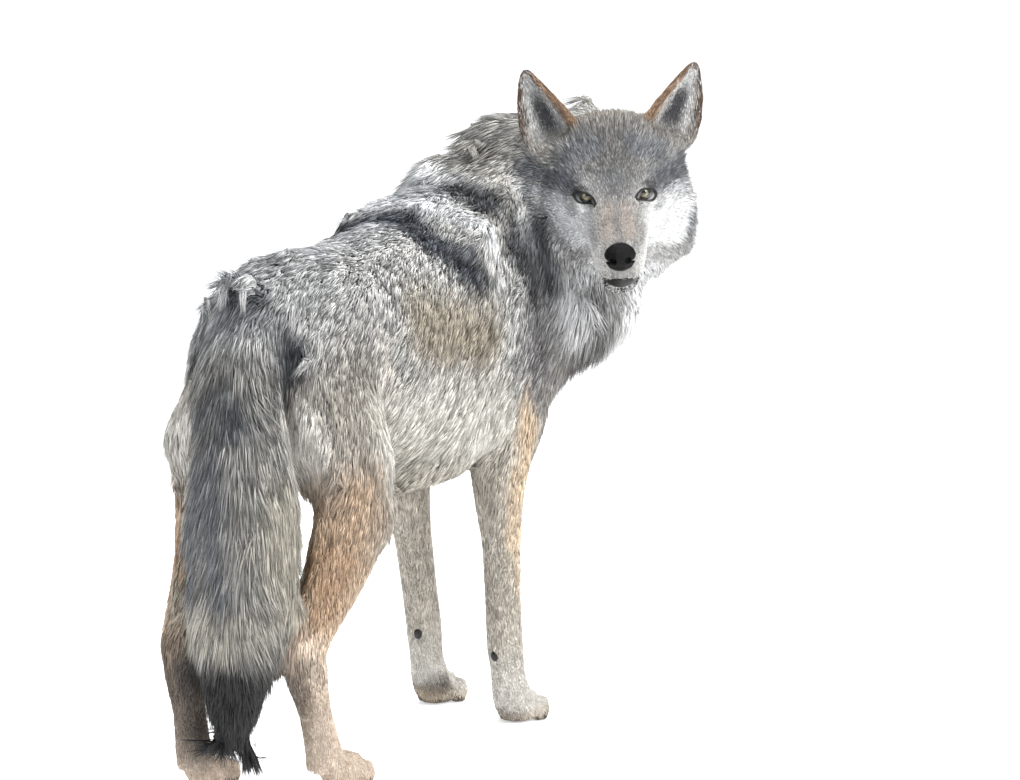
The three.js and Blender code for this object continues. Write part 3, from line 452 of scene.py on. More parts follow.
# Each mark is painted over those before it: the two ends of its middle line and its reach along x, y and z,
# all in millimetres, then its light hair, dark hair and share of dark. Body and head marks are on both sides.
BODY_MARKS = {
    "top_line": ((0, -220, 790), (0, 330, 720), (60, 60, 45), (204, 208, 213), (44, 48, 56), 0.46),
    "rump": ((0, 300, 690), (0, 410, 660), (90, 70, 60), (206, 207, 207), (74, 78, 82), 0.42),
    "tail_set": ((0, 390, 680), (0, 425, 650), (44, 20, 28), (150, 153, 158), (48, 52, 58), 0.62),
    "white_band": ((0, -112, 782), (104, -156, 716), (28, 26, 28), (236, 238, 240), (126, 130, 134), 0.16),
    "cape_top": ((0, -66, 748), (74, -36, 715), (34, 26, 28), (94, 100, 110), (24, 28, 36), 0.8),
    "cape_low": ((74, -36, 715), (130, -104, 661), (34, 26, 28), (94, 100, 110), (24, 28, 36), 0.8),
    "flank": ((134, 90, 616), (138, -76, 588), (76, 62, 48), (186, 174, 154), (112, 102, 87), 0.38),
    "low_flank": ((124, 230, 470), (124, -130, 455), (90, 96, 66), (228, 224, 214), (164, 158, 144), 0.18),
    "belly": ((0, 220, 410), (0, -160, 390), (84, 80, 66), (174, 167, 150), (106, 100, 87), 0.4),
    "shoulder": ((128, -300, 640), (125, -262, 535), (56, 70, 66), (160, 158, 158), (66, 66, 69), 0.52),
    "chest": ((0, -400, 560), (90, -340, 450), (90, 70, 90), (168, 164, 158), (84, 82, 80), 0.46),
    "arm_streak": ((130, -232, 440), (124, -222, 300), (24, 22, 56), (232, 206, 172), (186, 152, 118), 0.2),
    "arm_low": ((124, -232, 300), (120, -262, 170), (14, 18, 50), (228, 206, 176), (176, 150, 122), 0.2),
    "arm_back": ((90, -160, 380), (88, -204, 200), (26, 18, 50), (186, 178, 164), (124, 115, 102), 0.32),
    "haunch_front": ((114, 215, 540), (112, 235, 450), (50, 30, 60), (232, 226, 216), (160, 153, 144), 0.2),
    "breech": ((76, 425, 510), (74, 430, 420), (46, 34, 46), (242, 238, 230), (186, 180, 171), 0.12),
    "low_thigh": ((118, 345, 405), (108, 392, 310), (56, 52, 46), (206, 174, 142), (148, 120, 93), 0.28),
    "shank_side": ((108, 385, 320), (98, 430, 230), (34, 28, 36), (200, 162, 126), (140, 108, 80), 0.28),
    "hock": ((100, 440, 210), (100, 432, 170), (34, 34, 24), (234, 212, 188), (182, 156, 130), 0.16),
    "hock_back": ((92, 470, 200), (92, 424, 90), (22, 9, 34), (170, 144, 120), (100, 80, 66), 0.3),
    "croup_fold": ((26, 366, 694), (50, 386, 672), (16, 12, 8), (176, 160, 128), (98, 86, 66), 0.4),
    "tail_root": ((64, 396, 612), (52, 420, 570), (22, 26, 32), (98, 102, 108), (36, 40, 47), 0.72),
    "tail_spot": ((10, 500, 566), (24, 510, 520), (20, 30, 20), (104, 109, 117), (26, 30, 38), 0.8),
    "tail_spine": ((10, 525, 480), (24, 530, 300), (14, 34, 34), (132, 134, 139), (44, 47, 54), 0.68),
    "tail_side": ((92, 480, 420), (84, 480, 310), (24, 50, 50), (198, 190, 172), (108, 102, 92), 0.36),
    "tail_low": ((14, 480, 270), (10, 475, 250), (70, 70, 22), (190, 183, 168), (82, 78, 70), 0.42),
    "tail_tip": ((6, 470, 185), (0, 465, 60), (90, 90, 34), (28, 28, 31), (13, 13, 16), 0.94),
    "heel_left": ((58, -362, 26), (104, -368, 8), (24, 22, 20), (104, 95, 87), (56, 50, 45), 0.6),
    "heel_right": ((80, -256, 12), (116, -260, 6), (18, 15, 12), (104, 95, 87), (56, 50, 45), 0.6),
    "fore_toes": ((88, -320, 0), (88, -420, 0), (60, 60, 24), (206, 186, 160), (150, 130, 108), 0.2),
    "sole": ((84, -400, -4), (92, 380, -4), (400, 900, 12), (74, 62, 54), (42, 36, 32), 0.5),
}
RIGHT_MARKS = {
    "mane_patch": ((10, -244, 801), (62, -257, 771), (30, 30, 30), (240, 241, 242), (130, 134, 138), 0.22),
    "throat": ((-110, -420, 620), (-215, -360, 620), (80, 80, 56), (244, 245, 246), (208, 209, 210), 0.06),
    "nape": ((-50, -290, 840), (-120, -330, 862), (52, 44, 32), (186, 182, 174), (58, 56, 54), 0.52),
}
# Painted shade on the right of the neck, laid over the head's marks: the dark fold between neck and shoulder,
# and the shade behind and under the cheek.
NECK_SHADE_MARKS = {
    "collar_fold_shadow": ((-44, -226, 778), (-136, -246, 664), (34, 34, 36), (92, 94, 98), (24, 26, 30), 0.78),
    "cheek_shadow": ((-128, -288, 712), (-134, -300, 655), (24, 24, 30), (98, 100, 104), (34, 36, 40), 0.7),
    "under_cheek_shadow": ((-170, -394, 628), (-152, -382, 560), (34, 36, 40), (66, 61, 56), (30, 27, 25), 0.7),
}
HEAD_MARKS = {
    "cap": ((0, 16, 42), (0, 56, 54), (50, 34, 30), (134, 131, 127), (46, 46, 48), 0.74),
    "cap_side": ((30, 44, 50), (60, 50, 34), (18, 20, 14), (134, 137, 142), (58, 61, 68), 0.55),
    "crown": ((0, 96, 78), (34, 100, 70), (46, 28, 22), (156, 144, 127), (68, 60, 50), 0.55),
    "temple": ((60, 20, 8), (128, 92, 0), (18, 28, 15), (108, 113, 121), (50, 55, 63), 0.6),
    "cheek_band": ((78, 26, -18), (130, 84, -26), (12, 22, 9), (184, 188, 193), (104, 110, 118), 0.3),
    "brow_spot": ((32, -6, 17), (44, -2, 20), (9, 9, 5), (164, 164, 163), (100, 100, 102), 0.3),
    "cheek": ((50, -14, -40), (98, 62, -66), (30, 34, 28), (250, 251, 252), (224, 227, 230), 0.04),
    "low_cheek": ((46, -4, -72), (94, 58, -84), (24, 32, 22), (248, 249, 250), (214, 217, 220), 0.06),
    "cheek_edge": ((122, 78, -44), (106, 70, -96), (12, 20, 22), (112, 114, 118), (46, 48, 52), 0.55),
    "ruff_edge": ((136, 96, -34), (116, 86, -112), (12, 22, 22), (224, 224, 222), (126, 126, 126), 0.25),
    "under_eye": ((52, -6, -22), (60, 0, -26), (8, 8, 4), (160, 162, 166), (88, 91, 98), 0.35),
    "muzzle_side": ((38, -36, -58), (33, -92, -62), (14, 22, 20), (240, 238, 236), (208, 203, 200), 0.06),
    "muzzle_tan": ((11, -34, -4), (13, -76, -24), (12, 18, 9), (174, 162, 152), (130, 118, 109), 0.28),
    "bridge": ((0, -16, 0), (0, -98, -26), (5, 18, 8), (146, 142, 140), (92, 89, 88), 0.4),
    "stop": ((0, -16, 8), (0, 4, 26), (22, 16, 14), (132, 132, 133), (56, 58, 61), 0.6),
    "tear_line": ((26, -18, -9), (21, -30, -18), (2.4, 6, 3), (86, 81, 78), (40, 37, 36), 0.6),
    "eye_rim": ((34, -10, 0), (50, -3, 4), (14, 12, 6), (62, 62, 64), (32, 33, 36), 0.7),
    "eye_line": ((44, 0, 14), (60, 8, 12), (7, 8, 2.4), (84, 82, 80), (44, 42, 42), 0.55),
    "chin": ((0, -96, -110), (20, -60, -116), (24, 30, 10), (236, 234, 231), (184, 180, 176), 0.08),
    "mouth_line": ((46, -46, -77), (26, -92, -83), (6, 8, 2.4), (48, 46, 46), (26, 25, 25), 0.6),
    "mouth_front": ((22, -94, -89), (0, -106, -91), (6, 9, 6.5), (34, 33, 34), (20, 20, 20), 0.8),
    "far_ruff": ((126, 34, -14), (128, 26, -70), (12, 22, 18), (226, 228, 230), (128, 131, 136), 0.25),
    "nose_bed": ((0, -106, -42), (0, -106, -52), (12, 9, 9), (34, 34, 36), (20, 20, 22), 0.5),
}
MARK_EDGE = (1.7, 0.3)
PALER = 0.22


def pelt(*shade):
    """A hair's colour, greyer than it looks, because hair seen between hairs looks stronger."""
    shade = np.array(shade, float)
    return linear(*(shade + PALER * (shade.mean() - shade)))


def painted(paint, marks, places, mirrored):
    """Paint is each place's light hair, dark hair and share of dark, in seven columns."""
    if mirrored:
        places = np.column_stack([np.abs(places[:, 0]), places[:, 1:]])
    for start, end, reach, light, dark, share in marks.values():
        start, end, reach = np.array(start) / 1000, np.array(end) / 1000, np.array(reach) / 1000
        line = (end - start) / reach
        away = (places - start) / reach
        along = np.clip(away @ line / max(line @ line, 1e-9), 0, 1)
        cover = ramp(np.linalg.norm(away - along[:, None] * line, axis=1), *MARK_EDGE)[:, None]
        cover = cover * cover * (3 - 2 * cover)
        paint = paint + cover * (np.array([*pelt(*light), *pelt(*dark), share]) - paint)
    return paint


def drift(places, scale, amount, seed):
    """A smooth wander of the places, so that no marking has a clean edge."""
    shift = [noise.noise_vector(Vector(place) * scale + Vector((seed, 0, 0))) for place in places]
    return np.array(shift) * amount


# The ears: pale inside with a near-black hollow of painted shade, rust-brown along the rims and behind,
# dark at the tips.
EAR_BASE, EAR_LENGTH, EAR_BACKWARD = (0.082, 0.084, 0.044), 0.113, radians(-10)
EAR_TURN, EAR_LEAN = radians(14), {1: radians(26), -1: radians(22)}
EAR_WIDTHS = ((-0.14, 0.08, 0.3, 0.55, 0.78, 0.93, 1.0), (0.036, 0.043, 0.039, 0.029, 0.017, 0.008, 0.003))
EAR_SHADES = {
    "inside": (*pelt(206, 206, 204), *pelt(130, 131, 133), 0.3),
    # the hollow: painted shade deep in the ear's cup
    "hollow": (*pelt(74, 75, 79), *pelt(36, 37, 40), 0.7),
    "fold": (*pelt(156, 120, 90), *pelt(74, 55, 43), 0.48),
    "rim": (*pelt(112, 88, 70), *pelt(58, 46, 40), 0.5),
}


def ear_frame(side):
    """An ear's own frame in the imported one: +Z to the tip, -Y out of its open front, +X outward."""
    turn = Matrix.Rotation(EAR_TURN * side, 4, "Z") @ Matrix.Rotation(EAR_LEAN[side] * side, 4, "Y")
    base = Matrix.Translation((side * EAR_BASE[0], *EAR_BASE[1:]))
    return HEAD @ base @ turn @ Matrix.Rotation(EAR_BACKWARD, 4, "X") @ Matrix.Diagonal((side, 1, 1, 1))


def in_ear(places, normals):
    """Each place's share of its ear's width and length, and how far it faces out of the ear's front."""
    right = (in_head(places)[:, 0] < 0)[:, None]
    across, up, front = 0, 0, 0
    for side, mine in ((1, ~right), (-1, right)):
        turn = np.array(ear_frame(side).inverted())
        own = places @ turn[:3, :3].T + turn[:3, 3]
        share = own[:, 2] / EAR_LENGTH
        across = across + mine[:, 0] * own[:, 0] / np.interp(share, *EAR_WIDTHS)
        up = up + mine[:, 0] * share
        front = front - mine[:, 0] * (normals @ turn[:3, :3].T)[:, 1]
    return across, up, front


def ear_paint(places, normals):
    across, up, front = in_ear(places, normals)
    inside = ramp(front, 0.0, 0.3) * ramp(np.abs(across - 0.14), 0.78, 0.58) * ramp(up, 0.97, 0.84)
    # The hollow is painted shade where the ear's cup is deepest.
    hollow = inside * ramp(np.abs(across - 0.08), 0.5, 0.2) * ramp(np.abs(up - 0.34), 0.42, 0.16)
    dark_rim = np.maximum(ramp(across, 0.68, 0.86), ramp(up, 0.74, 0.95))
    paint = np.array(EAR_SHADES["fold"])[None]
    for cover, shade in ((dark_rim, "rim"), (inside, "inside"), (0.95 * hollow, "hollow")):
        paint = paint + cover[:, None] * (np.array(EAR_SHADES[shade]) - paint)
    return paint


TAIL_LINE = ((0, 376, 652), (-4, 422, 610), (-14, 456, 548), (-32, 480, 370), (-26, 478, 285), (-3, 462, 66))
CHEVRON_SLOPE, CHEVRON_STEP, CHEVRON_SHARE = 0.9, 0.034, 0.28


def along_line(line, places):
    """The direction of a line at its nearest point to each place, and that point."""
    line = np.array(line) / 1000
    best = np.full(len(places), np.inf)
    ways, nearest = np.zeros((len(places), 3)), np.zeros((len(places), 3))
    for start, end in zip(line[:-1], line[1:]):
        step = end - start
        spot = start + np.clip((places - start) @ step / (step @ step), 0, 1)[:, None] * step
        distance = np.linalg.norm(places - spot, axis=1)
        nearer = distance < best
        best[nearer] = distance[nearer]
        ways[nearer] = step / np.linalg.norm(step)
        nearest[nearer] = spot[nearer]
    return ways, nearest


def markings(places, normals, weights):
    """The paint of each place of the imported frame."""
    ground = {region: (*pelt(*light), *pelt(*dark), share) for region, (light, dark, share) in GROUND.items()}
    paint = blended(weights, ground)
    moved = places + drift(places, 22, 0.010, 3) + drift(places, 90, 0.005, 7)
    own = moved - np.array(STANCE)
    body = painted(painted(paint, BODY_MARKS, own, True), RIGHT_MARKS, own, False)
    # Dark chevrons run down and outward from the tail's middle line.
    _, spine = along_line(TAIL_LINE, own)
    band = own[:, 2] + CHEVRON_SLOPE * np.abs((own - spine)[:, 0])
    body[:, 6] += CHEVRON_SHARE * weights[:, 5] * np.sin(2 * pi * band / CHEVRON_STEP)
    near = in_head(places + drift(places, 60, 0.004, 5))
    head = painted(body, HEAD_MARKS, near, True)
    share = np.maximum(ramp(weights[:, :3].sum(1), 0.2, 0.8), ramp(np.linalg.norm(near, axis=1), 0.19, 0.16))
    # The neck's painted shade goes on last, over the head's marks.
    paint = painted(body + share[:, None] * (head - body), NECK_SHADE_MARKS, own, False)
    on_ear = ramp(weights[:, 2], 0.2, 0.7) * ramp(in_ear(places, normals)[1], -0.04, 0.12)
    return paint + on_ear[:, None] * (ear_paint(places, normals) - paint)


def store(mesh, name, kind, values):
    """Writes one value of every vertex."""
    attribute = mesh.attributes.new(name, kind, "POINT")
    field = {"FLOAT_COLOR": "color", "FLOAT_VECTOR": "vector", "FLOAT": "value"}[kind]
    if kind == "FLOAT_COLOR":
        values = np.column_stack([values, np.ones(len(values))])
    attribute.data.foreach_set(field, np.asarray(values, np.float32).ravel())


def coat_material(name, strand_scale, roughness):
    """Hair: the markings, broken by fine strands that run along the coat."""
    material, tree, surface = new_material(name, roughness=roughness)
    surface.inputs["Specular IOR Level"].default_value = 0.25
    surface.inputs["Sheen Weight"].default_value = 0.1
    surface.inputs["Sheen Roughness"].default_value = 0.5
    marks = add_node(tree, "ShaderNodeAttribute", attribute_name="coat")
    strand = add_node(tree, "ShaderNodeAttribute", attribute_name="strand")
    lines = add_node(
        tree, "ShaderNodeTexNoise", [("Vector", strand.outputs["Vector"])], Scale=strand_scale, Detail=3.0
    )
    span = add_node(tree, "ShaderNodeMapRange", [("Value", lines.outputs["Fac"])])
    for end, value in {"From Min": 0.3, "From Max": 0.7, "To Min": 0.7, "To Max": 1.22}.items():
        span.inputs[end].default_value = value
    tint = add_node(tree, "ShaderNodeVectorMath", [(0, marks.outputs["Color"]), (1, span.outputs["Result"])])
    tint.operation = "MULTIPLY"
    tree.links.new(tint.outputs["Vector"], surface.inputs["Base Color"])
    add_relief(tree, surface, lines.outputs["Fac"], 0.35, 0.0006)
    return material


def dress(piece, material, slot, *nodes):
    """Gives a piece its material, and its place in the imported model."""
    piece.data.materials.clear()
    piece.data.materials.append(material)
    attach(piece, "root")
    if nodes:
        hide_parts(*nodes)


# How far the skin and the tufts' roots are darkened in each region: painted shade deep in the coat, stronger
# under the long hair.
PAINTED_COAT_SHADE = {
    "head": 0.85, "jaw": 0.9, "ear": 0.9, "neck": 0.72, "torso": 0.72, "tail": 0.7, "upper_arm": 0.8,
    "forearm": 0.85, "fore_paw": 0.9, "thigh": 0.8, "shank": 0.85, "hind_paw": 0.9,
}
skin_paint = markings(skin_places, skin_normals, skin_weights)
share = 0.6 * skin_paint[:, 6:]
skin_paint = skin_paint[:, :3] * (1 - share) + skin_paint[:, 3:6] * share
# The skin's colour is the mean of its hair, darkened by painted shade where the tufts cover it.
store(skin.data, "coat", "FLOAT_COLOR", blended(skin_weights, PAINTED_COAT_SHADE)[:, None] * skin_paint)
store(skin.data, "strand", "FLOAT_VECTOR", skin_places * (1, 1, 0.35))
dress(skin, coat_material("short_underfur", 700.0, 0.85), "body_coat", *flesh)

# ---------------------------------------------------------------- the lie of the coat
# Which way the hair points: back from the nose over the head, along the neck to the shoulders, back and down
# over the body, down the legs and tail, forward over the toes, and up the ears to their tips.
NECK_LINE = (
    (-210, -352, 772), (-150, -390, 790), (-96, -402, 782), (-40, -388, 745), (0, -300, 690), (0, -180, 640),
)
NOSE_AT = np.array((0, -0.118, -0.036))
EYE_CLEAR, EYE_FADE = 0.013, 0.020


def from_eyes(local):
    """The way from the nearer eye along the face, and how near it is, from 0 to 1."""
    side = np.where(local[:, 0] < 0, -1, 1)
    away = local - np.stack([side * EYE_OUT, 0 * side - 0.008, 0 * side], 1)
    distance = np.linalg.norm(away * (0.8, 0.8, 1.25), axis=1)
    return unit(away), ramp(distance, EYE_CLEAR + EYE_FADE, EYE_CLEAR)


def lie_of(places, normals, weights):
    """The direction of the hair at each place, along the skin."""
    own = places - np.array(STANCE)
    local = in_head(places)
    back = unit((local - NOSE_AT) * (0.75, 1.0, 0.75))
    low = ramp(local[:, 1], 0.02, 0.07) * ramp(local[:, 2], 0.03, -0.03)
    back[:, 1] += 0.2
    back[:, 2] -= 0.8 * low
    away, near = from_eyes(local)
    back += away * near[:, None] * 1.8
    tips = np.where(local[:, :1] < 0, -1, 1) * (1, 0, 0) * 0.122 + (0, 0.112, 0.17)
    turn = np.array(HEAD.to_3x3())
    head, ear = back @ turn.T, unit(tips - local) @ turn.T
    none, one = np.zeros(len(places)), np.ones(len(places))
    side = np.abs(normals[:, 0])
    front = ramp(own[:, 1], -0.33, -0.38)
    behind = ramp(normals[:, 1], 0.2, 0.9)
    neck, _ = along_line(NECK_LINE, own)
    tail, spine = along_line(TAIL_LINE, own)
    outward = unit((own - spine) * (1, 0, 0)) * ramp(np.abs((own - spine)[:, 0]), 0.004, 0.05)[:, None]
    ways = {
        "head": head,
        "jaw": head,
        "ear": ear,
        "neck": neck + np.stack([none, none, -0.35 - 0.3 * side], 1),
        "torso": np.stack([none, 1 - front, -0.12 - 0.5 * side - front - 1.6 * behind], 1),
        "tail": tail + 0.45 * outward,
        "upper_arm": np.stack([none, 0.4 * one, -one], 1),
        "forearm": np.stack([none, 0.12 * one, -one], 1),
        "fore_paw": np.stack([none, -0.5 * one, -0.6 * one], 1),
        "thigh": np.stack([none, 0.5 * one, -one], 1),
        "shank": np.stack([none, 0.25 * one, -one], 1),
        "hind_paw": np.stack([none, -0.3 * one, -0.8 * one], 1),
    }
    total = sum(weights[:, k, None] * ways[region] for k, region in enumerate(REGIONS))
    calm = 1 - 0.6 * weights[:, :3].sum(1)[:, None]
    total += calm * (drift(places, 14, 0.4, 9) + drift(places, 45, 0.3, 5))
    return unit(total - (total * normals).sum(1)[:, None] * normals)


# ---------------------------------------------------------------- coat
# The hair, in thin pointed tufts set in the skin, that overlap along the lie and gather into locks. They are
# long on the neck, back and tail, and down to a few millimetres on the face, ears and feet.
HAIR = {
    # length, width, lift, gathering into locks, tufts for each square centimetre
    "head": (0.010, 0.0014, 0.30, 0.2, 26),
    "jaw": (0.008, 0.0014, 0.30, 0.15, 26),
    "ear": (0.007, 0.0014, 0.22, 0.1, 20),
    "neck": (0.050, 0.0022, 0.44, 0.5, 14.5),
    "torso": (0.040, 0.0021, 0.38, 0.5, 14.5),
    "tail": (0.050, 0.0022, 0.40, 0.42, 15),
    "upper_arm": (0.024, 0.0019, 0.34, 0.4, 14),
    "forearm": (0.011, 0.0017, 0.26, 0.2, 18),
    "fore_paw": (0.007, 0.0015, 0.26, 0.15, 20),
    "thigh": (0.028, 0.0019, 0.34, 0.42, 14),
    "shank": (0.017, 0.0019, 0.38, 0.25, 17),
    "hind_paw": (0.007, 0.0015, 0.26, 0.15, 20),
}
LENGTH, WIDTH, LIFT, GATHER, DENSITY = range(5)
FACE_LENGTHS = ((-0.12, -0.06, 0.0, 0.03, 0.06, 0.10), (0.0040, 0.0055, 0.008, 0.012, 0.022, 0.036))
NAPE_CUT, CHEST_GROWTH, EAR_FRINGE = 0.75, 0.4, 0.005
FOLD_GAP = 0.016
chance = np.random.default_rng(1907)


def hair_of(places, weights):
    """Each place's length, width, lift, gathering and density of hair."""
    hair = blended(weights, HAIR)
    local = in_head(places)
    length = np.interp(local[:, 1], *FACE_LENGTHS)
    length *= 1 - 0.3 * ramp(local[:, 2], 0.01, 0.05)
    length *= 1 - 0.55 * from_eyes(local)[1]
    grown = ramp(length, 0.012, 0.036)[:, None]
    shaggy = np.array([0, 0.0006, 0.16, 0.25, -8])
    hair += weights[:, :1] * (grown * shaggy + (length[:, None] - HAIR["head"][0]) * (1, 0, 0, 0, 0))
    near_head = weights[:, 3] * ramp(np.linalg.norm(local, axis=1), 0.24, 0.13)
    hair[:, (LENGTH, LIFT)] *= 1 - NAPE_CUT * near_head[:, None]
    hair[:, (LENGTH, LIFT)] *= 1 + CHEST_GROWTH * on_chest(places, weights)[:, None]
    across, _, _ = in_ear(places, 0 * places)
    hair[:, LENGTH] += EAR_FRINGE * weights[:, 2] * ramp(np.abs(across), 0.4, 0.75)
    return hair


face_corners = skin_places[skin_faces]
face_normals = np.cross(face_corners[:, 1] - face_corners[:, 0], face_corners[:, 2] - face_corners[:, 0])
face_area = 0.5 * np.linalg.norm(face_normals, axis=1)
face_normals = unit(face_normals)
face_middle = face_corners.mean(1)
face_weights = skin_weights[skin_faces].mean(1)
face_density = hair_of(face_middle, face_weights)[:, DENSITY] * 1e4

# No hair grows deep in the folds, between the eyelids, on the nose or along the lips.
on_long_hair = face_weights[:, 3:].sum(1) > 0.5
for i in np.flatnonzero(on_long_hair):
    way = Vector(face_normals[i])
    if skin_tree.ray_cast(Vector(face_middle[i]) + way * 0.0005, way, FOLD_GAP)[0]:
        face_density[i] = 0
LID_BARE, NOSE_BARE, LIP_BARE = 1.22, 0.0215, 0.0055
LIP_LINE = ((-44, -52, -77), (-37, -74, -81), (-25, -93, -83), (0, -107, -81))
for side in (1, -1):
    face_density[lid_share(face_middle, side)[0] < LID_BARE] = 0
local = in_head(face_middle)
face_density[np.linalg.norm(local - NOSE_BED, axis=1) < NOSE_BARE] = 0
mirrored = np.column_stack([-np.abs(local[:, 0]), local[:, 1:]])
face_density[np.linalg.norm(mirrored - along_line(LIP_LINE, mirrored)[1], axis=1) < LIP_BARE] = 0

# A tuft is a thin closed spindle: a root in the skin, a ring of three corners where it is widest, and a tip.
REACHES = (0.0, 0.4, 1.0)
RING = ((-1, 0), (1, 0), (0, 0.9))
TUFT_FACES = np.array([(0, 2, 1), (0, 3, 2), (0, 1, 3), (1, 2, 4), (2, 3, 4), (3, 1, 4)])
MOST_TUFTS, LOWEST, STIFFNESS = 32500, 0.0003, 0.55
BAKE_PATCH = 0.003

# The lie is evened over the skin once, so that neighbouring tufts agree.
skin_lie = lie_of(skin_places, skin_normals, skin_weights)
for _ in range(5):
    skin_lie = evened(skin_lie, skin_edges, 6, 0.7)
    skin_lie = unit(skin_lie - (skin_lie * skin_normals).sum(1)[:, None] * skin_normals)


def sample(faces, rng):
    """Roots spread over some of the skin's faces, by their density: the faces and the place in each."""
    amount = np.cumsum(face_area[faces] * face_density[faces])
    count = int(amount[-1])
    spots = (np.arange(count) + rng.random(count)) / count * amount[-1]
    picked = faces[np.minimum(np.searchsorted(amount, spots), len(faces) - 1)]
    far, turn = np.sqrt(rng.random(count)), rng.random(count)
    return picked, np.stack([1 - far, far * (1 - turn), far * turn], 1)


def at_roots(values, picked, parts):
    return (values[skin_faces[picked]] * parts[:, :, None]).sum(1)


def draped(places, normals, ways, length, lift):
    """Each tuft's middle line, which follows the skin and stands off it, and the skin's normal along it."""
    lines, facings = [], []
    for share in REACHES:
        spots = places + ways * (length * share)[:, None]
        found = [skin_tree.find_nearest(spot) for spot in spots]
        ground = np.array([place for place, _, _, _ in found])
        facing = unit(skin_normals[skin_faces[[index for _, _, index, _ in found]]].mean(1))
        facing = unit(facing + normals * 0.5)
        ground += (STIFFNESS * (spots - ground)) * (((spots - ground) * facing).sum(1) > 0)[:, None]
        height = length * lift * share * (1 - 0.45 * share) - (0.001 if share == 0 else 0)
        lines.append(ground + facing * height[:, None])
        facings.append(facing)
    return np.stack(lines, 1), np.stack(facings, 1)


LOCK_SIZE = 11


def gathered(lines, places, amount, rng):
    """Draws the tufts' ends towards the nearest of the locks' middles. Gives each tuft's lock as well."""
    leaders = rng.choice(len(places), max(1, len(places) // LOCK_SIZE), replace=False)
    tree = KDTree(len(leaders))
    for k, leader in enumerate(leaders):
        tree.insert(places[leader], k)
    tree.balance()
    lock = np.array([tree.find(place)[1] for place in places])
    steps = np.array(REACHES)[None, :, None] ** 1.3
    return lines + amount[:, None, None] * steps * (lines[leaders[lock]] - lines), lock


def tuft_shades(places, normals, weights, lock, rng):
    """The colours of each tuft's root, middle and tip: light hair, some with a long or short dark tip, and a
    root darkened as painted shade.
    """
    count, locks = len(places), lock.max() + 1
    astray = places + rng.normal(0, 0.003, (count, 3))
    paint = markings(astray, normals, weights)
    share = np.clip(paint[:, 6] + rng.normal(0, 0.24, locks)[lock], 0, 1)
    dark = (rng.random(count) < share)[:, None]
    tone = (rng.normal(1, 0.05, count) * rng.normal(1, 0.10, locks)[lock])[:, None]
    light_hair, dark_hair = paint[:, :3] * tone, (0.8 * paint[:, 3:6] + 0.2 * paint[:, :3]) * tone
    reach = rng.uniform(0.2, 0.9, (count, 1))
    # The root is darkened as painted shade deep in the coat, a little more where dark hair is thicker.
    root = blended(weights, PAINTED_COAT_SHADE)[:, None] * light_hair * (1 - 0.3 * share[:, None])
    middle = np.where(dark, light_hair + reach * (dark_hair - light_hair), light_hair)
    tip = np.where(dark, dark_hair, light_hair * 1.1)
    return root, middle, tip


def add_coat(name, faces, rng):
    picked, parts = sample(faces, rng)
    places = at_roots(skin_places, picked, parts)
    normals = unit(at_roots(skin_normals, picked, parts))
    weights = at_roots(skin_weights, picked, parts)
    hair = hair_of(places, weights)
    count = len(places)
    ways = unit(at_roots(skin_lie, picked, parts))
    ways = ways + np.cross(normals, ways) * (rng.normal(0, 0.3, count) * hair[:, GATHER])[:, None]
    length = hair[:, LENGTH] * rng.uniform(0.7, 1.25, count)
    lift = hair[:, LIFT] * rng.uniform(0.65, 1.35, count)
    lines, facings = draped(places, normals, ways, length, lift)
    gather = np.clip(hair[:, GATHER] * rng.uniform(0.5, 1.4, count), 0, 0.9)
    lines, lock = gathered(lines, places, gather, rng)
    shades = tuft_shades(places, normals, weights, lock, rng)
    width = hair[:, WIDTH] * rng.uniform(0.75, 1.25, count)

    ahead = unit(lines[:, 2] - lines[:, 0])
    side = unit(np.cross(facings[:, 1], ahead))
    up = np.cross(ahead, side)
    twist = rng.normal(0, 0.35, count)[:, None]
    side, up = side + up * twist, up - side * twist
    half = (0.5 * width)[:, None]
    ring = [lines[:, 1] + half * (side * across + up * height) for across, height in RING]
    corners = np.stack([lines[:, 0], *ring, lines[:, 2]], 1)
    corners[:, :, 2] = np.maximum(corners[:, :, 2], LOWEST)
    colours = [shades[0], shades[1], shades[1], shades[1], shades[2]]
    seed = rng.random(count) * 40
    across_tuft, along_tuft = (0, -1, 1, 0, 0), (0, *[REACHES[1]] * 3, 1)
    strands = [
        np.stack([half[:, 0] * across + seed, length * along * 0.06 + seed, seed], 1)
        for across, along in zip(across_tuft, along_tuft)
    ]
    patch = np.stack([0.5 * np.array(across_tuft), np.array(along_tuft) - 0.5], 1)

    each = corners.shape[1]
    triangles = (TUFT_FACES[None] + each * np.arange(count)[:, None, None]).reshape(-1, 3)
    mesh = bpy.data.meshes.new(name)
    mesh.vertices.add(each * count)
    mesh.vertices.foreach_set("co", corners.ravel())
    mesh.loops.add(triangles.size)
    mesh.loops.foreach_set("vertex_index", triangles.ravel())
    mesh.polygons.add(len(triangles))
    mesh.polygons.foreach_set("loop_start", np.arange(0, triangles.size, 3))
    mesh.polygons.foreach_set("use_smooth", np.ones(len(triangles), bool))
    mesh.update(calc_edges=True)
    store(mesh, "coat", "FLOAT_COLOR", np.stack(colours, 1).reshape(-1, 3))
    store(mesh, "strand", "FLOAT_VECTOR", np.stack(strands, 1))
    root_uv = (skin_uv[picked] * parts[:, :, None]).sum(1)
    uv = root_uv[:, None, :] + patch[None] * BAKE_PATCH
    bake = mesh.uv_layers.new(name="OFBake")
    bake.data.foreach_set("uv", uv.reshape(-1, 2)[triangles.ravel()].ravel())
    coat = bpy.data.objects.new(name, mesh)
    bpy.context.collection.objects.link(coat)
    return coat


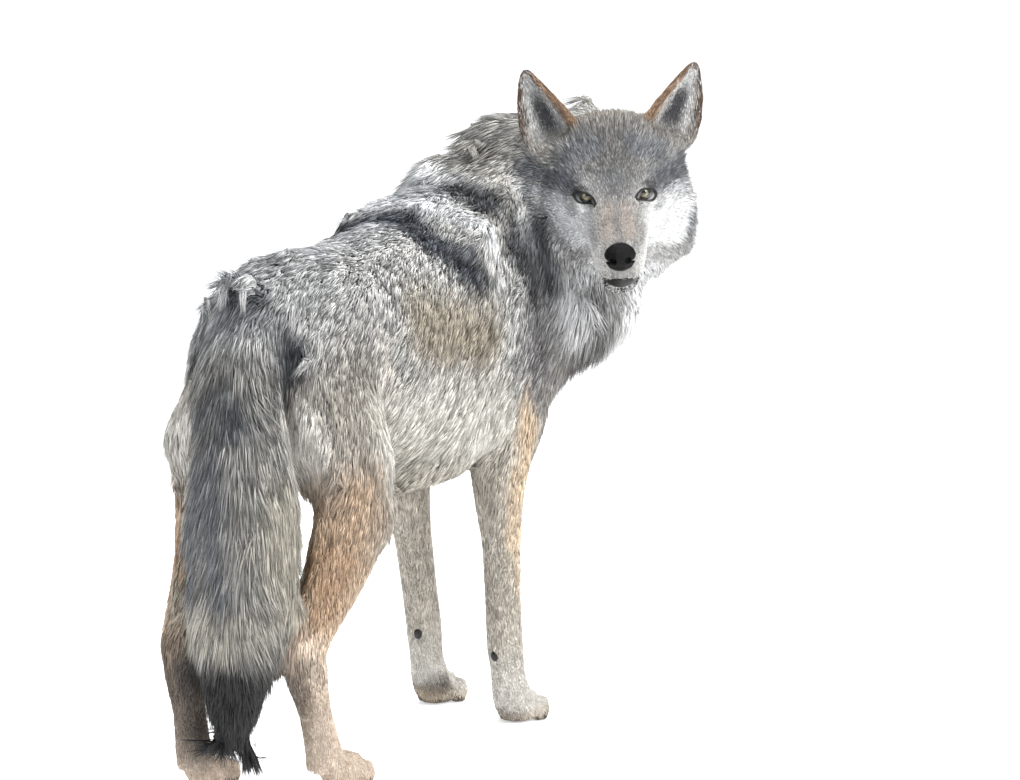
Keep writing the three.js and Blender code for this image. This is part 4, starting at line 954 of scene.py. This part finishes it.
COATS = {
    # the regions that each part of the coat grows on, and its slot
    "face_hair": (("head", "jaw"), "face_coat"),
    "ear_hair": (("ear",), "ear_coat"),
    "mane": (("neck",), "body_coat"),
    "body_hair": (("torso",), "body_coat"),
    "tail_brush": (("tail",), "body_coat"),
    "haunch_hair": (("thigh", "upper_arm"), "limb_coat"),
    "leg_hair": (("forearm", "fore_paw", "shank", "hind_paw"), "limb_coat"),
}
hair_finish = coat_material("guard_hair", 900.0, 0.72)
main_region = face_weights.argmax(1)
for coat_name, (regions, slot) in COATS.items():
    grows = np.isin(main_region, [REGIONS.index(region) for region in regions]) & (face_density > 0)
    faces = np.flatnonzero(grows)
    faces = faces[np.argsort(face_middle[faces] @ (0.3, 1.0, 0.1))]
    tufts = np.cumsum(face_area[faces] * face_density[faces])
    pieces = int(np.ceil(tufts[-1] / MOST_TUFTS))
    ends = np.searchsorted(tufts, tufts[-1] * np.arange(pieces + 1) / pieces)
    for k in range(pieces):
        coat = add_coat(f"{coat_name}_{k + 1}", faces[ends[k]:ends[k + 1]], chance)
        dress(coat, hair_finish, slot)

# ---------------------------------------------------------------- eyes
# Amber eyes with a clear bulging front, rimmed by black lids. They look straight out at the camera.
BALL, CORNEA, IRIS = 0.0120, 0.075, radians(38)
eye_finish, tree, surface = new_material("amber_eye", (150, 144, 100), 0.06)
surface.inputs["Coat Weight"].default_value = 1.0
surface.inputs["Coat Roughness"].default_value = 0.02
ring = add_node(tree, "ShaderNodeAttribute", attribute_name="from_pupil")
wedge = add_node(tree, "ShaderNodeAttribute", attribute_name="round_pupil")
streak = add_node(tree, "ShaderNodeTexNoise", [("Vector", wedge.outputs["Vector"])], Scale=9.0, Detail=3.0)
iris = add_node(tree, "ShaderNodeValToRGB", [("Fac", ring.outputs["Fac"])])
# Each stop is a share of the way from the pupil's middle to twice the iris, and its colour.
IRIS_STOPS = (
    (0.0, (4, 4, 5)), (0.15, (6, 6, 6)), (0.19, (86, 82, 60)),
    (0.30, (138, 133, 102)), (0.42, (112, 108, 80)),
    (0.49, (46, 42, 34)), (0.55, (26, 22, 20)), (1.0, (48, 40, 37)),
)
while len(iris.color_ramp.elements) < len(IRIS_STOPS):
    iris.color_ramp.elements.new(1.0)
for stop, (place, colour) in zip(iris.color_ramp.elements, IRIS_STOPS):
    stop.position = place
    stop.color = (*linear(*colour), 1)
mottle = add_node(tree, "ShaderNodeMix", data_type="RGBA", blend_type="MULTIPLY")
tree.links.new(streak.outputs["Fac"], mottle.inputs[0])
tree.links.new(iris.outputs["Color"], mottle.inputs[6])
mottle.inputs[7].default_value = (0.62, 0.6, 0.52, 1)
tree.links.new(mottle.outputs[2], surface.inputs["Base Color"])

rim_finish, tree, surface = new_material("bare_black_skin", (24, 23, 23), 0.36)
pores = add_node(tree, "ShaderNodeTexNoise", Scale=900.0, Detail=2.0)
add_relief(tree, surface, pores.outputs["Fac"], 0.3, 0.0004)


def add_eyeball(name, side):
    bpy.ops.object.select_all(action="DESELECT")
    bpy.ops.mesh.primitive_uv_sphere_add(segments=64, ring_count=48, radius=BALL)
    ball = bpy.context.object
    ball.name = name
    places = read(ball.data.vertices, "co", 3)
    angle = np.arccos(np.clip(places[:, 2] / BALL, -1, 1))
    around = np.arctan2(places[:, 1], places[:, 0])
    places *= 1 + CORNEA * np.clip(1 - (angle / IRIS) ** 2, 0, 1)[:, None]
    ball.data.vertices.foreach_set("co", places.ravel())
    store(ball.data, "from_pupil", "FLOAT", angle / (2 * IRIS))
    streaks = np.stack([np.cos(around) * 4, np.sin(around) * 4, angle], 1)
    store(ball.data, "round_pupil", "FLOAT_VECTOR", streaks)
    eye_at = HEAD @ Vector((side * EYE_OUT, 0, 0))
    aim = (STANCE + CAMERA_AT - eye_at).to_track_quat("Z", "Y").to_matrix().to_4x4()
    ball.data.transform(Matrix.Translation(eye_at) @ aim)
    bpy.ops.object.shade_smooth()
    return ball


def add_closed(name, places, faces):
    """A closed piece from its corners and faces, smoothed."""
    mesh = bpy.data.meshes.new(name)
    mesh.from_pydata([tuple(place) for place in places], [], faces)
    piece = bpy.data.objects.new(name, mesh)
    bpy.context.collection.objects.link(piece)
    bpy.ops.object.select_all(action="DESELECT")
    piece.select_set(True)
    bpy.context.view_layer.objects.active = piece
    bpy.ops.object.mode_set(mode="EDIT")
    bpy.ops.mesh.select_all(action="SELECT")
    bpy.ops.mesh.normals_make_consistent(inside=False)
    bpy.ops.object.mode_set(mode="OBJECT")
    apply_modifier("SUBSURF", levels=1, render_levels=1)
    bpy.ops.object.shade_smooth()
    return piece


LID_ROWS = (
    # share of the opening, and how far the row stands off the ball or the skin
    (0.88, -0.0004), (0.88, 0.0007), (0.97, 0.0015), (1.12, 0.0012), (1.26, 0.0003), (1.30, -0.0016),
)
LID_POINTS = 44


def lid_point(share, angle):
    """A point of the almond opening between the lids, seen along the eye's frame."""
    x = LID_HALF * share * cos(angle)
    arch = LID_UP if sin(angle) > 0 else -LID_DOWN
    inner = max(0, -cos(angle))
    return x, arch * share * abs(sin(angle)) ** 1.15 * (1 - 0.25 * inner**3) - 0.0016 * inner**4


def add_lids(name, side):
    """A dark rim that follows the opening from the ball out onto the skin."""
    own = eye_frame(side)
    inward = own.to_3x3() @ Vector((0, 1, 0))
    places = []
    for share, off in LID_ROWS:
        for k in range(LID_POINTS):
            x, z = lid_point(share, 2 * pi * k / LID_POINTS)
            hit, _, _, _ = skin_tree.ray_cast(own @ Vector((x, -0.05, z)), inward, 0.07)
            on_skin = (own.inverted() @ hit).y if hit else 0
            on_ball = -sqrt(max(BALL**2 - x * x - z * z, 0))
            places.append(own @ Vector((x, min(on_skin, on_ball) - off, z)))
    count = len(LID_ROWS)
    faces = [
        (i * LID_POINTS + k, i * LID_POINTS + (k + 1) % LID_POINTS,
         (i + 1) % count * LID_POINTS + (k + 1) % LID_POINTS, (i + 1) % count * LID_POINTS + k)
        for i in range(count) for k in range(LID_POINTS)
    ]
    return add_closed(name, places, faces)


for name, side in (("left", 1), ("right", -1)):
    dress(add_eyeball(f"eyeball_{name}", side), eye_finish, "eye", f"eye_{name}")
    dress(add_lids(f"lids_{name}", side), rim_finish, "nose_skin")

# ---------------------------------------------------------------- nose, lips, pads and claws
# Bare skin and horn: the black pebbled nose, the dark edge of the lower lip, the small pad behind each wrist
# and four dark claws on each paw.
nose = merged_copy("nose_pad", ["nose"])
apply_modifier("REMESH", mode="VOXEL", voxel_size=0.0011)
apply_modifier("SMOOTH", factor=0.5, iterations=7)
bpy.ops.object.shade_smooth()
nose_finish, tree, surface = new_material("wet_nose", (6, 6, 8), 0.36)
surface.inputs["Specular IOR Level"].default_value = 0.16
pebble = add_node(tree, "ShaderNodeTexVoronoi", Scale=620.0)
add_relief(tree, surface, pebble.outputs["Distance"], 0.5, 0.0005)
dress(nose, nose_finish, "nose_skin", "nose")

LIP_STEPS, LIP_SIDES, LIP_RADII = 14, 8, (0.0080, 0.0036)


def lip_path():
    """The lip's line on the skin, from one corner of the mouth round the chin to the other."""
    half = [Vector(place) / 1000 for place in LIP_LINE]
    whole = half + [Vector((-place.x, place.y, place.z)) for place in reversed(half[:-1])]
    path = []
    for i in range(2 * LIP_STEPS + 1):
        along = i / (2 * LIP_STEPS) * (len(whole) - 1)
        k = min(int(along), len(whole) - 2)
        spot = whole[k].lerp(whole[k + 1], along - k)
        way = HEAD.to_3x3() @ Vector((spot.x, 0.6 * spot.y + 0.01, 0)).normalized()
        place, _, _, _ = skin_tree.ray_cast(HEAD @ spot + way * 0.03, -way, 0.06)
        path.append((place or HEAD @ spot, way))
    return path


path = lip_path()
places = []
for i, (place, normal) in enumerate(path):
    ahead = (path[min(i + 1, len(path) - 1)][0] - path[max(i - 1, 0)][0]).normalized()
    over = ahead.cross(normal).normalized()
    full = 0.2 + 0.8 * sin(pi * i / (len(path) - 1)) ** 6
    for k in range(LIP_SIDES):
        angle = 2 * pi * k / LIP_SIDES
        places.append(place + (over * LIP_RADII[0] * cos(angle) + normal * LIP_RADII[1] * sin(angle)) * full)
last = len(places) - LIP_SIDES
faces = [
    (i + k, i + (k + 1) % LIP_SIDES, i + LIP_SIDES + (k + 1) % LIP_SIDES, i + LIP_SIDES + k)
    for i in range(0, last, LIP_SIDES) for k in range(LIP_SIDES)
]
faces += [tuple(range(LIP_SIDES)), tuple(range(last, last + LIP_SIDES))]
dress(add_closed("lower_lip", places, faces), rim_finish, "nose_skin")

WRIST_PADS = {"right": (-0.083, -0.229, 0.102), "left": (0.083, -0.331, 0.111)}
for name, place in WRIST_PADS.items():
    bpy.ops.object.select_all(action="DESELECT")
    bpy.ops.mesh.primitive_uv_sphere_add(segments=20, ring_count=14, radius=0.0065)
    pad = bpy.context.object
    pad.name = f"wrist_pad_{name}"
    pad.data.transform(Matrix.Translation(STANCE + Vector(place)) @ Matrix.Diagonal((1.0, 0.8, 1.25, 1)))
    bpy.ops.object.shade_smooth()
    dress(pad, rim_finish, "nose_skin")

claw_finish, tree, surface = new_material("horn", (44, 38, 34), 0.35)
grain = add_node(tree, "ShaderNodeTexNoise", Scale=300.0, Detail=3.0)
tone = add_node(tree, "ShaderNodeValToRGB", [("Fac", grain.outputs["Fac"])])
tone.color_ramp.elements[0].color = (*linear(30, 26, 23), 1)
tone.color_ramp.elements[1].color = (*linear(78, 68, 58), 1)
tree.links.new(tone.outputs["Color"], surface.inputs["Base Color"])
for node in [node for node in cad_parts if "claw" in node]:
    claw = merged_copy(f"horn_{node}", [node])
    apply_modifier("SUBSURF", levels=2, render_levels=2)
    bpy.ops.object.shade_smooth()
    dress(claw, claw_finish, "claw", node)
